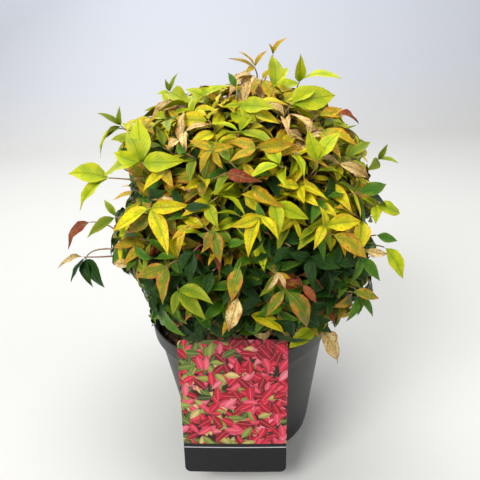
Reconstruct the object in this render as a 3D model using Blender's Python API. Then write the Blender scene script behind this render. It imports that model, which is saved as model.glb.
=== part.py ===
"""Heavenly bamboo: a dwarf shrub of many canes in a round nursery pot, with a card label.

Metres, Z up. The origin is the middle of the pot's flat underside, and -Y is the front.
Every cane is one solid, and carries one mass of foliage, which is one solid too.
"""

import math
import random

import bmesh
import bpy
from mathutils import Matrix, Vector
from mathutils.bvhtree import BVHTree

# Pot: a 17 cm nursery pot of two litres
POT_HEIGHT = 0.132
POT_BASE_RADIUS = 0.0645
POT_WALL_RADIUS = 0.0805
POT_RIM_RADIUS = 0.0850
POT_RIM_HEIGHT = 0.0155
POT_RIM_FLARE = 0.0008
POT_WALL = 0.0015
POT_SIDES = 40
NOTCH_COUNT = 8
NOTCH_WIDTH = 0.012
NOTCH_HEIGHT = 0.005
DRAIN_COUNT = 4
DRAIN_RADIUS = 0.005
DRAIN_CIRCLE = 0.034

# Soil: fills the pot to a little under its rim
CLEARANCE = 0.0003
SOIL_TOP = 0.120
SOIL_FALL = 0.004
SOIL_BUMP = 0.0012
SOIL_LEVEL = 0.80

# Label: a card that stands in front of the pot on a tongue pushed into the soil. It hangs a little to
# one side and askew, with its foot leaning out, and the foliage keeps above a sight line that rises
# from its top to the front
LABEL_WIDTH = 0.0888
LABEL_HEIGHT = 0.1335
LABEL_THICK = 0.0006
LABEL_CORNER = 0.005
LABEL_FOOT = 0.0207
LABEL_TOP = LABEL_FOOT + LABEL_HEIGHT
LABEL_FRONT = -POT_RIM_RADIUS - 0.0010 - LABEL_THICK
LABEL_SIDE = -0.0088
LABEL_TURN = 1.85
LABEL_SWING = -3.0
LABEL_LEAN = 6.0
LABEL_SIGHT = 0.77
TONGUE_WIDTH = 0.028
TONGUE_DEPTH = 0.030

# Crown: the outline that the foliage fills, as an egg round this middle
CROWN_MIDDLE = Vector((0.006, 0.0, 0.203))
CROWN_REACH = 0.131
CROWN_UP = 0.141
CROWN_DOWN = 0.082
CROWN_FLOOR = 0.128

# Masses: rings from the top down, as name, count, radius, height, cane foot radius and first azimuth
RINGS = (
    ("top", 1, 0.000, 0.298, 0.000, 0.0),
    ("upper", 4, 0.060, 0.270, 0.018, 45.0),
    ("middle", 6, 0.089, 0.213, 0.032, 30.0),
    ("lower", 5, 0.082, 0.160, 0.047, 18.0),
)
CELL_MARGIN = 0.0005
SEED = 11

# Canes
CANE_FOOT = 0.0034
CANE_FLARE = 1.5
CANE_TIP = 0.0020
CANE_SIDES = 6
CANE_STEPS = 4
CANE_SHARE = 0.58

# Sprays: whole compound leaves whose ends lie evenly in layers under the crown's outline,
# as the number of places round the whole egg and the depth of each layer
LAYERS = ((112, 0.014), (70, 0.038))
GOLDEN_ANGLE = 137.508
STEM_RADIUS = 0.0017
RACHIS_RADIUS = 0.0011
RACHIS_TIP = 0.0008
RACHIS_STEPS = 2

# Leaflets
LEAF_LENGTH = 0.0415
LEAF_WIDTH = 0.46
LEAF_THICK = 0.0011
LEAF_WIDEST = 0.40
LEAF_FREE = 0.10
LEAF_RISE = 0.34
LEAF_ROOT = 0.0014
TRIPLET = (0.0, 66.0, -66.0)
PAIR = (78.0, -78.0)
PAIR_BACK = 0.010
TRIES = 6

# Sprigs that stand out of the crown, as the end of each stalk and its leaf length
SPRIGS = (
    (Vector((0.034, -0.010, 0.333)), 0.036),
    (Vector((0.040, 0.010, 0.349)), 0.023),
    (Vector((0.017, 0.015, 0.341)), 0.022),
    (Vector((0.068, 0.004, 0.326)), 0.028),
    (Vector((0.078, -0.024, 0.310)), 0.026),
    (Vector((0.118, -0.016, 0.272)), 0.020),
    (Vector((0.100, -0.070, 0.252)), 0.032),
    (Vector((0.116, -0.062, 0.212)), 0.032),
    (Vector((0.095, -0.090, 0.200)), 0.024),
    (Vector((0.064, -0.088, 0.160)), 0.042),
    (Vector((-0.046, -0.004, 0.328)), 0.022),
    (Vector((-0.088, -0.002, 0.308)), 0.022),
    (Vector((-0.094, -0.036, 0.278)), 0.038),
    (Vector((-0.086, -0.070, 0.258)), 0.032),
    (Vector((-0.119, -0.026, 0.238)), 0.030),
    (Vector((-0.124, -0.040, 0.210)), 0.030),
    (Vector((-0.052, 0.078, 0.300)), 0.030),
    (Vector((0.062, 0.088, 0.284)), 0.032),
    (Vector((-0.100, 0.064, 0.240)), 0.034),
    (Vector((0.094, 0.080, 0.216)), 0.032),
    (Vector((0.004, 0.120, 0.240)), 0.032),
)

# Colours, as linear red, green and blue
POT_COLOUR = (0.045, 0.046, 0.050)
SOIL_COLOUR = (0.045, 0.026, 0.016)
LABEL_COLOUR = (0.55, 0.08, 0.09)
CANE_COLOUR = (0.20, 0.13, 0.07)
FOLIAGE_COLOURS = {
    "top": (0.56, 0.52, 0.03),
    "upper": (0.50, 0.46, 0.04),
    "middle": (0.30, 0.34, 0.03),
    "lower": (0.08, 0.19, 0.02),
}


def material(name, colour, roughness):
    made = bpy.data.materials.new(name)
    made.use_nodes = True
    shader = made.node_tree.nodes["Principled BSDF"]
    shader.inputs["Base Color"].default_value = (*colour, 1.0)
    shader.inputs["Roughness"].default_value = roughness
    shader.inputs["Metallic"].default_value = 0.0
    return made


def new_object(name, points, faces, finish=None):
    mesh = bpy.data.meshes.new(name)
    mesh.from_pydata([tuple(p) for p in points], [], faces)
    made = bpy.data.objects.new(name, mesh)
    bpy.context.scene.collection.objects.link(made)
    if finish:
        mesh.materials.append(finish)
    return made


def boolean(obj, operation, others):
    """Joins or cuts obj with the other objects, applies the result and removes them."""
    group = bpy.data.collections.new("operands")
    bpy.context.scene.collection.children.link(group)
    for other in others:
        bpy.context.scene.collection.objects.unlink(other)
        group.objects.link(other)
    modifier = obj.modifiers.new(operation, "BOOLEAN")
    modifier.operation = operation
    modifier.operand_type = "COLLECTION"
    modifier.collection = group
    graph = bpy.context.evaluated_depsgraph_get()
    result = bpy.data.meshes.new_from_object(obj.evaluated_get(graph))
    obj.modifiers.clear()
    obj.data = result
    for other in others:
        bpy.data.objects.remove(other)
    bpy.data.collections.remove(group)


def turned(profile, sides):
    """Points and faces of a closed profile of (radius, height) pairs, turned round Z. Its ends are on the axis."""
    points = [Vector((0.0, 0.0, profile[0][1]))]
    rings = []
    for radius, height in profile[1:-1]:
        rings.append([len(points) + k for k in range(sides)])
        points += [
            Vector((radius * math.cos(k * math.tau / sides), radius * math.sin(k * math.tau / sides), height))
            for k in range(sides)
        ]
    points.append(Vector((0.0, 0.0, profile[-1][1])))
    faces = [(0, rings[0][(k + 1) % sides], rings[0][k]) for k in range(sides)]
    for below, above in zip(rings, rings[1:]):
        for k in range(sides):
            after = (k + 1) % sides
            faces.append((below[k], below[after], above[after], above[k]))
    last = len(points) - 1
    faces += [(last, rings[-1][k], rings[-1][(k + 1) % sides]) for k in range(sides)]
    return points, faces


def box(name, low, high, turn=0.0):
    """A box between two corners, turned round Z by an angle in radians."""
    points = [
        Matrix.Rotation(turn, 3, "Z") @ Vector((x, y, z))
        for z in (low[2], high[2])
        for y in (low[1], high[1])
        for x in (low[0], high[0])
    ]
    faces = [(0, 2, 3, 1), (4, 5, 7, 6), (0, 1, 5, 4), (1, 3, 7, 5), (3, 2, 6, 7), (2, 0, 4, 6)]
    return new_object(name, points, faces)


def wall_radius(height):
    """The outer radius of the pot's wall below its rim."""
    share = height / (POT_HEIGHT - POT_RIM_HEIGHT)
    return POT_BASE_RADIUS + share * (POT_WALL_RADIUS - POT_BASE_RADIUS)


def make_pot(finish):
    step = POT_HEIGHT - POT_RIM_HEIGHT
    profile = (
        (0.0, 0.0),
        (POT_BASE_RADIUS, 0.0),
        (POT_WALL_RADIUS, step),
        (POT_RIM_RADIUS - POT_RIM_FLARE, step + 0.0006),
        (POT_RIM_RADIUS, POT_HEIGHT - 0.001),
        (POT_RIM_RADIUS - 0.0006, POT_HEIGHT),
        (POT_RIM_RADIUS - POT_WALL, POT_HEIGHT),
        (POT_RIM_RADIUS - POT_WALL - POT_RIM_FLARE, step + POT_WALL + 0.0006),
        (POT_WALL_RADIUS - POT_WALL, step + POT_WALL),
        (POT_BASE_RADIUS - POT_WALL, POT_WALL),
        (0.0, POT_WALL),
    )
    pot = new_object("pot", *turned(profile, POT_SIDES), finish)
    cutters = []
    for k in range(NOTCH_COUNT):
        low = (POT_BASE_RADIUS - 3 * POT_WALL, -NOTCH_WIDTH / 2, -0.01)
        high = (POT_BASE_RADIUS + 0.01, NOTCH_WIDTH / 2, NOTCH_HEIGHT)
        cutters.append(box("notch", low, high, (k + 0.5) * math.tau / NOTCH_COUNT))
    for k in range(DRAIN_COUNT):
        turn = Matrix.Rotation((k + 0.5) * math.tau / DRAIN_COUNT, 3, "Z")
        points, faces = turned(((0.0, -0.01), (DRAIN_RADIUS, -0.01), (DRAIN_RADIUS, 0.01), (0.0, 0.01)), 10)
        cutters.append(new_object("drain", [turn @ (p + Vector((DRAIN_CIRCLE, 0.0, 0.0))) for p in points], faces))
    boolean(pot, "DIFFERENCE", cutters)


def make_soil(finish):
    """The root ball: level under the canes, falling to a bumpy edge, with a slot for the label's tongue."""
    gap = POT_WALL + CLEARANCE
    low = SOIL_TOP - SOIL_FALL
    edge = wall_radius(low) - gap - 0.0002
    profile = [(0.0, gap), (POT_BASE_RADIUS - gap - 0.0002, gap), (edge, low), (edge * 0.90, low + SOIL_FALL * 0.5)]
    profile += [(edge * SOIL_LEVEL, SOIL_TOP), (0.0, SOIL_TOP)]
    points, faces = turned(profile, POT_SIDES)
    for point in points[1 + POT_SIDES : 1 + 3 * POT_SIDES]:
        turn = math.atan2(point.y, point.x)
        point.z += SOIL_BUMP * (math.sin(5 * turn + 1.0) + 0.6 * math.sin(13 * turn))
    soil = new_object("soil", points, faces, finish)
    low, high = tongue_path()[-1], tongue_path()[-2]
    slot = ribbon("slot", [low + (low - high) * 0.05, high + (high - low)], TONGUE_WIDTH + 0.0008, LABEL_THICK + 0.0010)
    slot.data.transform(label_side())
    boolean(soil, "DIFFERENCE", [slot])


def label_side():
    """Moves a label that hangs in the middle to its place, a little to one side and swung round."""
    hinge = Vector((0.0, LABEL_FRONT, 0.0))
    swing = Matrix.Rotation(math.radians(LABEL_SWING), 4, "Z")
    return Matrix.Translation(hinge + Vector((LABEL_SIDE, 0.0, 0.0))) @ swing @ Matrix.Translation(-hinge)


def label_leaned(point):
    """A point of an upright card, leaned so that the foot comes forward and the top edge stays."""
    hinge = Vector((0.0, LABEL_FRONT, LABEL_TOP))
    return hinge + Matrix.Rotation(math.radians(-LABEL_LEAN), 3, "X") @ (point - hinge)


def label_askew(point):
    """A point of the card, turned askew in its own plane."""
    hinge = Vector((0.0, 0.0, POT_HEIGHT))
    return hinge + Matrix.Rotation(math.radians(LABEL_TURN), 3, "Y") @ (point - hinge)


def ribbon(name, path, width, thick, finish=None):
    """A flat strip of even thickness along a path that lies in the YZ plane."""
    sides = []
    for k, point in enumerate(path):
        ahead = (path[min(k + 1, len(path) - 1)] - path[max(k - 1, 0)]).normalized()
        out = Vector((0.0, -ahead.z, ahead.y)) * thick / 2
        sides.append((point + out, point - out))
    points = []
    for outer, inner in sides:
        for x in (-width / 2, width / 2):
            points += [outer + Vector((x, 0.0, 0.0)), inner + Vector((x, 0.0, 0.0))]
    faces = [(0, 1, 3, 2)]
    for k in range(len(path) - 1):
        a, b = 4 * k, 4 * k + 4
        faces += [(a, a + 2, b + 2, b), (a + 1, b + 1, b + 3, a + 3), (a, b, b + 1, a + 1), (a + 2, a + 3, b + 3, b + 2)]
    last = 4 * (len(path) - 1)
    faces.append((last, last + 2, last + 3, last + 1))
    made = new_object(name, points, faces, finish)
    shape = bmesh.new()
    shape.from_mesh(made.data)
    bmesh.ops.recalc_face_normals(shape, faces=shape.faces)
    shape.to_mesh(made.data)
    shape.free()
    return made


def tongue_path():
    """From the card's top edge, back over the pot's rim and down into the soil."""
    low, front = (label_leaned(Vector((0.0, LABEL_FRONT + LABEL_THICK, LABEL_TOP - down))) for down in (0.010, 0.004))
    bend = [
        front + Vector((0.0, 0.0016 * k, 0.0011 * k * (4 - k) / 4 + 0.0008 * k)) for k in range(1, 4)
    ]
    inside = Vector((0.0, -wall_radius(SOIL_TOP) + 0.0065, SOIL_TOP + 0.006))
    end = Vector((0.0, -wall_radius(SOIL_TOP - TONGUE_DEPTH) + 0.0065, SOIL_TOP - TONGUE_DEPTH))
    return [low, front, *bend, inside, end]


def make_label(finish):
    outline = []
    low, high = LABEL_FOOT, LABEL_TOP
    centres = (
        (LABEL_WIDTH / 2 - LABEL_CORNER, high - LABEL_CORNER, 0),
        (-LABEL_WIDTH / 2 + LABEL_CORNER, high - LABEL_CORNER, 90),
        (-LABEL_WIDTH / 2 + LABEL_CORNER, low + LABEL_CORNER, 180),
        (LABEL_WIDTH / 2 - LABEL_CORNER, low + LABEL_CORNER, 270),
    )
    for x, z, start in centres:
        for k in range(4):
            angle = math.radians(start + 30 * k)
            outline.append((x + LABEL_CORNER * math.cos(angle), z + LABEL_CORNER * math.sin(angle)))
    layers = (LABEL_FRONT, LABEL_FRONT + LABEL_THICK)
    points = [label_askew(label_leaned(Vector((x, y, z)))) for y in layers for x, z in outline]
    count = len(outline)
    faces = [tuple(range(count)), tuple(reversed(range(count, 2 * count)))]
    faces += [(k, count + k, count + (k + 1) % count, (k + 1) % count) for k in range(count)]
    label = new_object("label", points, faces, finish)
    boolean(label, "UNION", [ribbon("tongue", tongue_path(), TONGUE_WIDTH, LABEL_THICK)])
    label.data.transform(label_side())


def compass(azimuth, rise=0.0):
    """A unit vector from an azimuth and a rise above level, both in degrees."""
    turn, up = math.radians(azimuth), math.radians(rise)
    return Vector((math.cos(turn) * math.cos(up), math.sin(turn) * math.cos(up), math.sin(up)))


def masses():
    """Every mass of foliage: its name, ring, middle, outward direction, cane foot and the joint of cane and stem."""
    made = []
    for ring, count, radius, height, foot, first in RINGS:
        for k in range(count):
            out = compass(first + 360.0 * k / count)
            middle = Vector((out.x * radius, out.y * radius, height))
            root = Vector((out.x * foot, out.y * foot, SOIL_TOP + CLEARANCE))
            joint = root.lerp(middle, CANE_SHARE)
            joint.z = root.z + (middle.z - root.z) * (CANE_SHARE + 0.08)
            name = ring if count == 1 else f"{ring}_{k + 1}"
            made.append({"name": name, "ring": ring, "middle": middle, "out": out, "root": root, "joint": joint})
    return made


def bent(start, knee, end, steps):
    """Points along a smooth curve from start to end that sets out towards knee."""
    shares = [k / steps for k in range(steps + 1)]
    return [start * (1 - t) ** 2 + knee * (2 * t * (1 - t)) + end * t**2 for t in shares]


def cane_curve(mass):
    root, joint = mass["root"], mass["joint"]
    knee = Vector((root.x, root.y, root.z + 0.6 * (joint.z - root.z)))
    return bent(root, knee, joint, CANE_STEPS)


def cane_radii():
    slope = [CANE_FOOT + (CANE_TIP - CANE_FOOT) * k / CANE_STEPS for k in range(CANE_STEPS + 1)]
    return [slope[0] * CANE_FLARE, *slope[1:]]


def tube(path, radii, sides):
    """Points and faces of a closed tapering tube along a path."""
    points, faces = [], []
    side = Vector((0.0, 1.0, 0.0))
    for k, point in enumerate(path):
        ahead = (path[min(k + 1, len(path) - 1)] - path[max(k - 1, 0)]).normalized()
        side = (side - ahead * side.dot(ahead)).normalized()
        other = ahead.cross(side)
        for n in range(sides):
            angle = math.tau * n / sides
            points.append(point + (side * math.cos(angle) + other * math.sin(angle)) * radii[k])
    for k in range(len(path) - 1):
        for n in range(sides):
            a, b = k * sides + n, k * sides + (n + 1) % sides
            faces.append((a, b, b + sides, a + sides))
    faces.append(tuple(reversed(range(sides))))
    faces.append(tuple(range(len(points) - sides, len(points))))
    return points, faces


def foot_flat(points, height, sides):
    """Lays a tube's first ring flat at a height, as the cut at the soil."""
    for point in points[:sides]:
        point.z = height
    return points


LEAF_FACES = ((0, 3, 2), (1, 2, 3), (0, 2, 1), (0, 1, 3))


def leaf_points(base, along, face, length, start=0.0):
    """Corners of a folded leaf of 4 faces: base, tip and two edges. start leaves out the base end, for tests."""
    across = along.cross(face).normalized() * (length * LEAF_WIDTH / 2)
    middle = base + along * (length * LEAF_WIDEST) + face * LEAF_THICK
    return [base + along * (length * start), base + along * length, middle - across, middle + across]


def in_cell(point, mass, others):
    """True if the point is nearer to its own mass's middle than to any other's, with the margin on each side."""
    own = mass["middle"]
    for other in others:
        apart = (other["middle"] - own).length
        gain = ((point - other["middle"]).length_squared - (point - own).length_squared) / (2 * apart)
        if gain < CELL_MARGIN:
            return False
    return True


LABEL_SPACE = (
    Vector((LABEL_SIDE - LABEL_WIDTH / 2 - 0.008, -POT_RIM_RADIUS - 0.012, 0.0)),
    Vector((LABEL_SIDE + LABEL_WIDTH / 2 + 0.008, -POT_RIM_RADIUS + 0.024, LABEL_TOP + 0.006)),
)


def clear_of_pot(point):
    """True if the point is outside the pot, its soil and the label, doesn't hide the card, and isn't too low."""
    if point.z < CROWN_FLOOR:
        return False
    if math.hypot(point.x, point.y) < POT_RIM_RADIUS + 0.003 and point.z < POT_HEIGHT + 0.002:
        return False
    low, high = LABEL_SPACE
    in_front = low.x < point.x < high.x and point.y < -POT_RIM_RADIUS
    if in_front and point.z < high.z + LABEL_SIGHT * (-POT_RIM_RADIUS - point.y):
        return False
    return not all(a < b < c for a, b, c in zip(low, point, high))


def fits(points, faces, mass, others, limbs):
    """True if a shape keeps to its mass's space, and clear of the pot, the label and the canes."""
    if not all(clear_of_pot(point) and in_cell(point, mass, others) for point in points):
        return False
    return not BVHTree.FromPolygons(points, faces).overlap(limbs)


def crown_share(point):
    """How far out of the crown's middle a point lies: 1 is on the outline."""
    rel = point - CROWN_MIDDLE
    tall = CROWN_UP if rel.z > 0 else CROWN_DOWN
    return math.sqrt((rel.x / CROWN_REACH) ** 2 + (rel.y / CROWN_REACH) ** 2 + (rel.z / tall) ** 2)


def crown_normal(point):
    """The outward direction of the crown's outline near a point, tipped up a little to the light."""
    rel = point - CROWN_MIDDLE
    tall = CROWN_UP if rel.z > 0 else CROWN_DOWN
    slope = Vector((rel.x / CROWN_REACH**2, rel.y / CROWN_REACH**2, rel.z / tall**2)).normalized()
    return (slope + Vector((0.0, 0.0, 0.35))).normalized()


def spray_ends(mass, others):
    """The ends of a mass's sprays: the even places of each layer that are nearest to its middle."""
    found = []
    for count, depth in LAYERS:
        for k in range(count):
            rise = math.degrees(math.asin(1 - 2 * (k + 0.5) / count))
            way = compass(k * GOLDEN_ANGLE, rise)
            end = CROWN_MIDDLE + way * (1 / crown_share(CROWN_MIDDLE + way) - depth)
            if end.z > CROWN_FLOOR + 0.012 and in_cell(end, mass, others):
                found.append(end)
    return found


def leaf_group(node, heading, normal, angles, length, rng):
    """Base, direction, upper side and length of the leaflets at one node of a stalk, as several tries for each."""
    group = []
    for angle in angles:
        tries = []
        for k in range(TRIES):
            turn = Matrix.Rotation(math.radians(angle + rng.uniform(-14, 14) * (1 + k)), 3, normal)
            along = (turn @ heading + normal * (LEAF_RISE + rng.uniform(-0.25, 0.25))).normalized()
            up = (normal - along * normal.dot(along)).normalized()
            tilt = Matrix.Rotation(math.radians(rng.uniform(-25, 25)), 3, along)
            size = length * rng.uniform(0.86, 1.12) * (1 - 0.07 * k)
            tries.append((node, along, tilt @ up, size))
        group.append(tries)
    return group


def spray(start, end, length, sprig, rng):
    """The stalk's path and the leaflets of one spray that starts on a stem."""
    normal = crown_normal(end)
    level = Matrix.Rotation(rng.uniform(-1.2, 1.2), 3, normal) @ (Vector((0.0, 0.0, -1.0)) + outward(end) * 0.3)
    heading = (level - normal * level.dot(normal)).normalized()
    if sprig:
        heading = (end - CROWN_MIDDLE).normalized()
        normal = (Vector((0.0, -0.6, 0.8)) - heading * heading.dot(Vector((0.0, -0.6, 0.8)))).normalized()
    ahead = (heading * 0.6 + normal * 0.4).normalized()
    knee = end - ahead * (0.35 * (end - start).length)
    path = bent(start, knee, end, RACHIS_STEPS)
    node = end + (path[-2] - end).normalized() * LEAF_ROOT
    group = leaf_group(node, heading, normal, TRIPLET, length, rng)
    if not sprig:
        last = path[-2] - path[-1]
        below = end + last * min(0.85, PAIR_BACK / last.length)
        group += leaf_group(below, heading, normal, PAIR, length * 0.9, rng)
    return path, group


def outward(point):
    """Level, and away from the crown's middle line."""
    level = Vector((point.x - CROWN_MIDDLE.x, point.y - CROWN_MIDDLE.y, 0.0))
    return level.normalized() if level.length > 1e-4 else Vector((1.0, 0.0, 0.0))


def first_fit(tries, mass, others, limbs, taken):
    """The first try of a leaflet that keeps to its space and crosses no other twig or leaf, with its test shape."""
    for leaf in tries:
        free = BVHTree.FromPolygons(leaf_points(*leaf, LEAF_FREE), LEAF_FACES)
        if any(free.overlap(other) for other in taken):
            continue
        if fits(leaf_points(*leaf), LEAF_FACES, mass, others, limbs):
            return leaf, free
    return None, None


def stem_of(mass):
    """Foot, top and direction of a mass's stem, which goes on from its cane."""
    axis = (mass["middle"] - mass["joint"]).normalized()
    return mass["joint"] + axis * CLEARANCE, mass["middle"] + axis * 0.004, axis


def lay_stalks(mass, others, limbs, rng):
    """The sprays of a mass whose stalks keep to its space, as (path, leaflets, test shape)."""
    foot, top, axis = stem_of(mass)
    wanted = [(end, length, True) for end, length in SPRIGS if in_cell(end, mass, others)]
    wanted += [(end, LEAF_LENGTH, False) for end in spray_ends(mass, others)]
    laid = []
    for end, length, sprig in wanted:
        share = min(0.95, max(0.15, (end - foot).dot(axis) / (top - foot).length - 0.35))
        path, group = spray(foot.lerp(top, share), end, length, sprig, rng)
        points, faces = tube(path, [RACHIS_RADIUS + 0.0004] * len(path), 3)
        if fits(points, faces, mass, others, limbs):
            laid.append((path, group, BVHTree.FromPolygons(points, faces)))
    return laid


def grow(mass, others, limbs):
    """Twigs as (path, radii) and leaves as (base, direction, upper side, length) of one mass, by a seeded rule."""
    rng = random.Random(f"{SEED} {mass['name']}")
    foot, top, _ = stem_of(mass)
    twigs = [([foot, foot.lerp(top, 0.5), top], [STEM_RADIUS, STEM_RADIUS * 0.9, STEM_RADIUS * 0.7])]
    radii = [RACHIS_RADIUS + (RACHIS_TIP - RACHIS_RADIUS) * k / RACHIS_STEPS for k in range(RACHIS_STEPS + 1)]
    laid = lay_stalks(mass, others, limbs, rng)
    leaves, taken = [], []
    for path, group, own in laid:
        stalks = [shape for _, _, shape in laid if shape is not own]
        kept = []
        for tries in group:
            leaf, free = first_fit(tries, mass, others, limbs, stalks + taken)
            if leaf:
                kept.append(leaf)
                taken.append(free)
        if kept:
            twigs.append((path, radii))
            leaves += kept
    return twigs, leaves


def make_cane(mass, finish):
    points, faces = tube(cane_curve(mass), cane_radii(), CANE_SIDES)
    new_object(f"cane_{mass['name']}", foot_flat(points, mass["root"].z, CANE_SIDES), faces, finish)


def make_mass(mass, others, limbs, finish):
    """One closed solid: the stem with its stalks and leaves fused on."""
    twigs, leaves = grow(mass, others, limbs)
    pieces = [new_object("twig", *tube(path, radii, 3)) for path, radii in twigs]
    pieces += [new_object("leaf", leaf_points(*leaf), LEAF_FACES) for leaf in leaves]
    whole = pieces[0]
    whole.name = f"foliage_{mass['name']}"
    whole.data.materials.append(finish)
    boolean(whole, "UNION", pieces[1:])
    return len(leaves)


def limb_space(found):
    """What the foliage keeps clear of: the canes, a little thickened, and the label's space."""
    points, faces = [], []
    for mass in found:
        grown, sides = tube(cane_curve(mass), [r + 0.0006 for r in cane_radii()], CANE_SIDES)
        faces += [tuple(len(points) + n for n in face) for face in sides]
        points += grown
    space = box("label_space", *LABEL_SPACE)
    faces += [tuple(len(points) + n for n in face.vertices) for face in space.data.polygons]
    points += [v.co.copy() for v in space.data.vertices]
    bpy.data.objects.remove(space)
    return BVHTree.FromPolygons(points, faces)


def main():
    for old in list(bpy.data.objects):
        bpy.data.objects.remove(old)
    make_pot(material("pot_plastic", POT_COLOUR, 0.38))
    make_soil(material("potting_soil", SOIL_COLOUR, 0.95))
    make_label(material("label_card", LABEL_COLOUR, 0.30))
    bark = material("cane_bark", CANE_COLOUR, 0.70)
    foliage = {ring: material(f"leaves_{ring}", colour, 0.45) for ring, colour in FOLIAGE_COLOURS.items()}
    found = masses()
    limbs = limb_space(found)
    total = 0
    for mass in found:
        make_cane(mass, bark)
        others = [m for m in found if m is not mass]
        total += make_mass(mass, others, limbs, foliage[mass["ring"]])
    print(f"{len(found)} masses, {total} leaves")


main()
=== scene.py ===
# %% [markdown]
# # Potted heavenly bamboo
# This lesson dresses a dwarf heavenly bamboo in its nursery pot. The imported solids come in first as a
# fixed frame, and every new piece is made in the same metres and the same place, so nothing has to be
# fitted afterwards. The origin is the middle of the pot's underside, Z is up and -Y is the front.

# %% Load the frame
import math
import random

import bpy
import numpy as np
from mathutils import Matrix, Vector
from mathutils.bvhtree import BVHTree


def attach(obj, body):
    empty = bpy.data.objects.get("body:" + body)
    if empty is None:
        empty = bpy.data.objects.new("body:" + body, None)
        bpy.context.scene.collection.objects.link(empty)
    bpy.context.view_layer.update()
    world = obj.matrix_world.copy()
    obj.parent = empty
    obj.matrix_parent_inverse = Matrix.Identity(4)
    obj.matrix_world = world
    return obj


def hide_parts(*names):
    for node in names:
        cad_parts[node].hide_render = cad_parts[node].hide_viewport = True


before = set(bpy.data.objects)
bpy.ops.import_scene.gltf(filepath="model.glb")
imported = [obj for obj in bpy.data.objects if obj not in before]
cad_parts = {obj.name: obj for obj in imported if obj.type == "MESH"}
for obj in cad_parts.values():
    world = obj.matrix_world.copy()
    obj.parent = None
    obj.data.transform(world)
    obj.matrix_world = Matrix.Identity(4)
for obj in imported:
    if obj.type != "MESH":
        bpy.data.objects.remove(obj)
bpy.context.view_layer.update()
NODES = sorted(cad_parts)

# %% [markdown]
# Colours are written as the sRGB hex codes that a paint chart gives. Blender's shaders work in linear
# light, so one function turns a code to linear. A second small function adds a shader node with its
# settings, and hands its inputs to a third, which sets or links them.


# %% Helpers for materials
def linear(code):
    parts = [int(code[k : k + 2], 16) / 255 for k in (1, 3, 5)]
    return (*[p / 12.92 if p <= 0.04045 else ((p + 0.055) / 1.055) ** 2.4 for p in parts], 1.0)


def feed(tree, node, inputs):
    """Gives each input a value, a socket to link to, or a node, which lends its first socket."""
    for key, value in inputs.items() if isinstance(inputs, dict) else enumerate(inputs):
        if isinstance(value, bpy.types.Node):
            value = value.outputs[0]
        if isinstance(value, bpy.types.NodeSocket):
            tree.links.new(value, node.inputs[key])
        else:
            node.inputs[key].default_value = value


def add(tree, kind, settings=None, inputs=None):
    """Adds a shader node. settings may be its operation alone, and inputs a plain row of values."""
    made = tree.nodes.new("ShaderNode" + kind)
    if isinstance(settings, str):
        settings = {"operation": settings}
    for key, value in (settings or {}).items():
        if key == "stops":
            elements = made.color_ramp.elements
            while len(elements) < len(value):
                elements.new(0.5)
            for element, (place, colour) in zip(elements, value):
                element.position, element.color = place, linear(colour)
        else:
            setattr(made, key, value)
    feed(tree, made, inputs or {})
    return made


COLOURS, CLAMPED_PRODUCT = {"data_type": "RGBA"}, {"operation": "MULTIPLY", "use_clamp": True}
FLAT_NOISE, FLAT_CELLS = {"noise_dimensions": "2D"}, {"voronoi_dimensions": "2D"}


def new_material(name, roughness, specular=0.5):
    made = bpy.data.materials.new(name)
    made.use_nodes = True
    shader = made.node_tree.nodes["Principled BSDF"]
    shader.inputs["Roughness"].default_value = roughness
    shader.inputs["Specular IOR Level"].default_value = specular
    return made, made.node_tree, shader


# %% [markdown]
# Three more helpers are for modelling. One clears a mesh's selection, because an operator acts on all
# that is selected. One goes into edit mode, with points, edges or faces picked, and one extrudes a step.


# %% Helpers for modelling
def deselect_mesh(piece):
    for part in (piece.data.polygons, piece.data.edges, piece.data.vertices):
        part.foreach_set("select", [False] * len(part))


def edit_mode(picked):
    bpy.context.tool_settings.mesh_select_mode = [picked == kind for kind in ("VERT", "EDGE", "FACE")]
    bpy.ops.object.mode_set(mode="EDIT")


def extrude(x, y, z):
    bpy.ops.mesh.extrude_region_move(TRANSFORM_OT_translate={"value": (x, y, z)})


# %% [markdown]
# The plant is seen from a little above with a short lens, close by, so the pot narrows strongly
# towards its foot. The camera's place comes from the pot: its rim is 17 cm across, and only one
# distance, height and tilt put the rim, the foot and the label where the picture has them.

# %% Camera
CAMERA_PLACE = (0.0, -0.403, 0.392)
CAMERA_PITCH, CAMERA_YAW, CAMERA_ROLL = math.radians(25.5), math.radians(0.46), math.radians(-3.27)
FOCAL_PIXELS, PICTURE_PIXELS, SENSOR = 489.0, 480.0, 36.0

bpy.ops.object.camera_add(location=CAMERA_PLACE)
camera = bpy.context.object
camera.name = "camera"
tilt = Matrix.Rotation(math.pi / 2 - CAMERA_PITCH, 3, "X")
camera.rotation_euler = (
    Matrix.Rotation(-CAMERA_YAW, 3, "Z") @ tilt @ Matrix.Rotation(CAMERA_ROLL, 3, "Z")
).to_euler()
camera.data.sensor_width = SENSOR
camera.data.lens = SENSOR * FOCAL_PIXELS / PICTURE_PIXELS
camera.data.clip_start = 0.01
bpy.context.scene.camera = camera
print("lens:", round(camera.data.lens, 1), "mm")

# %% [markdown]
# The set is a pale floor that sweeps up behind, as a roll of studio paper does, so there is no edge
# between floor and backdrop. The light is soft and comes from all round. The strongest lamp is above the
# front left, for the shine on the leaves and the pot. Weaker ones stand at the right, above and behind.

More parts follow.
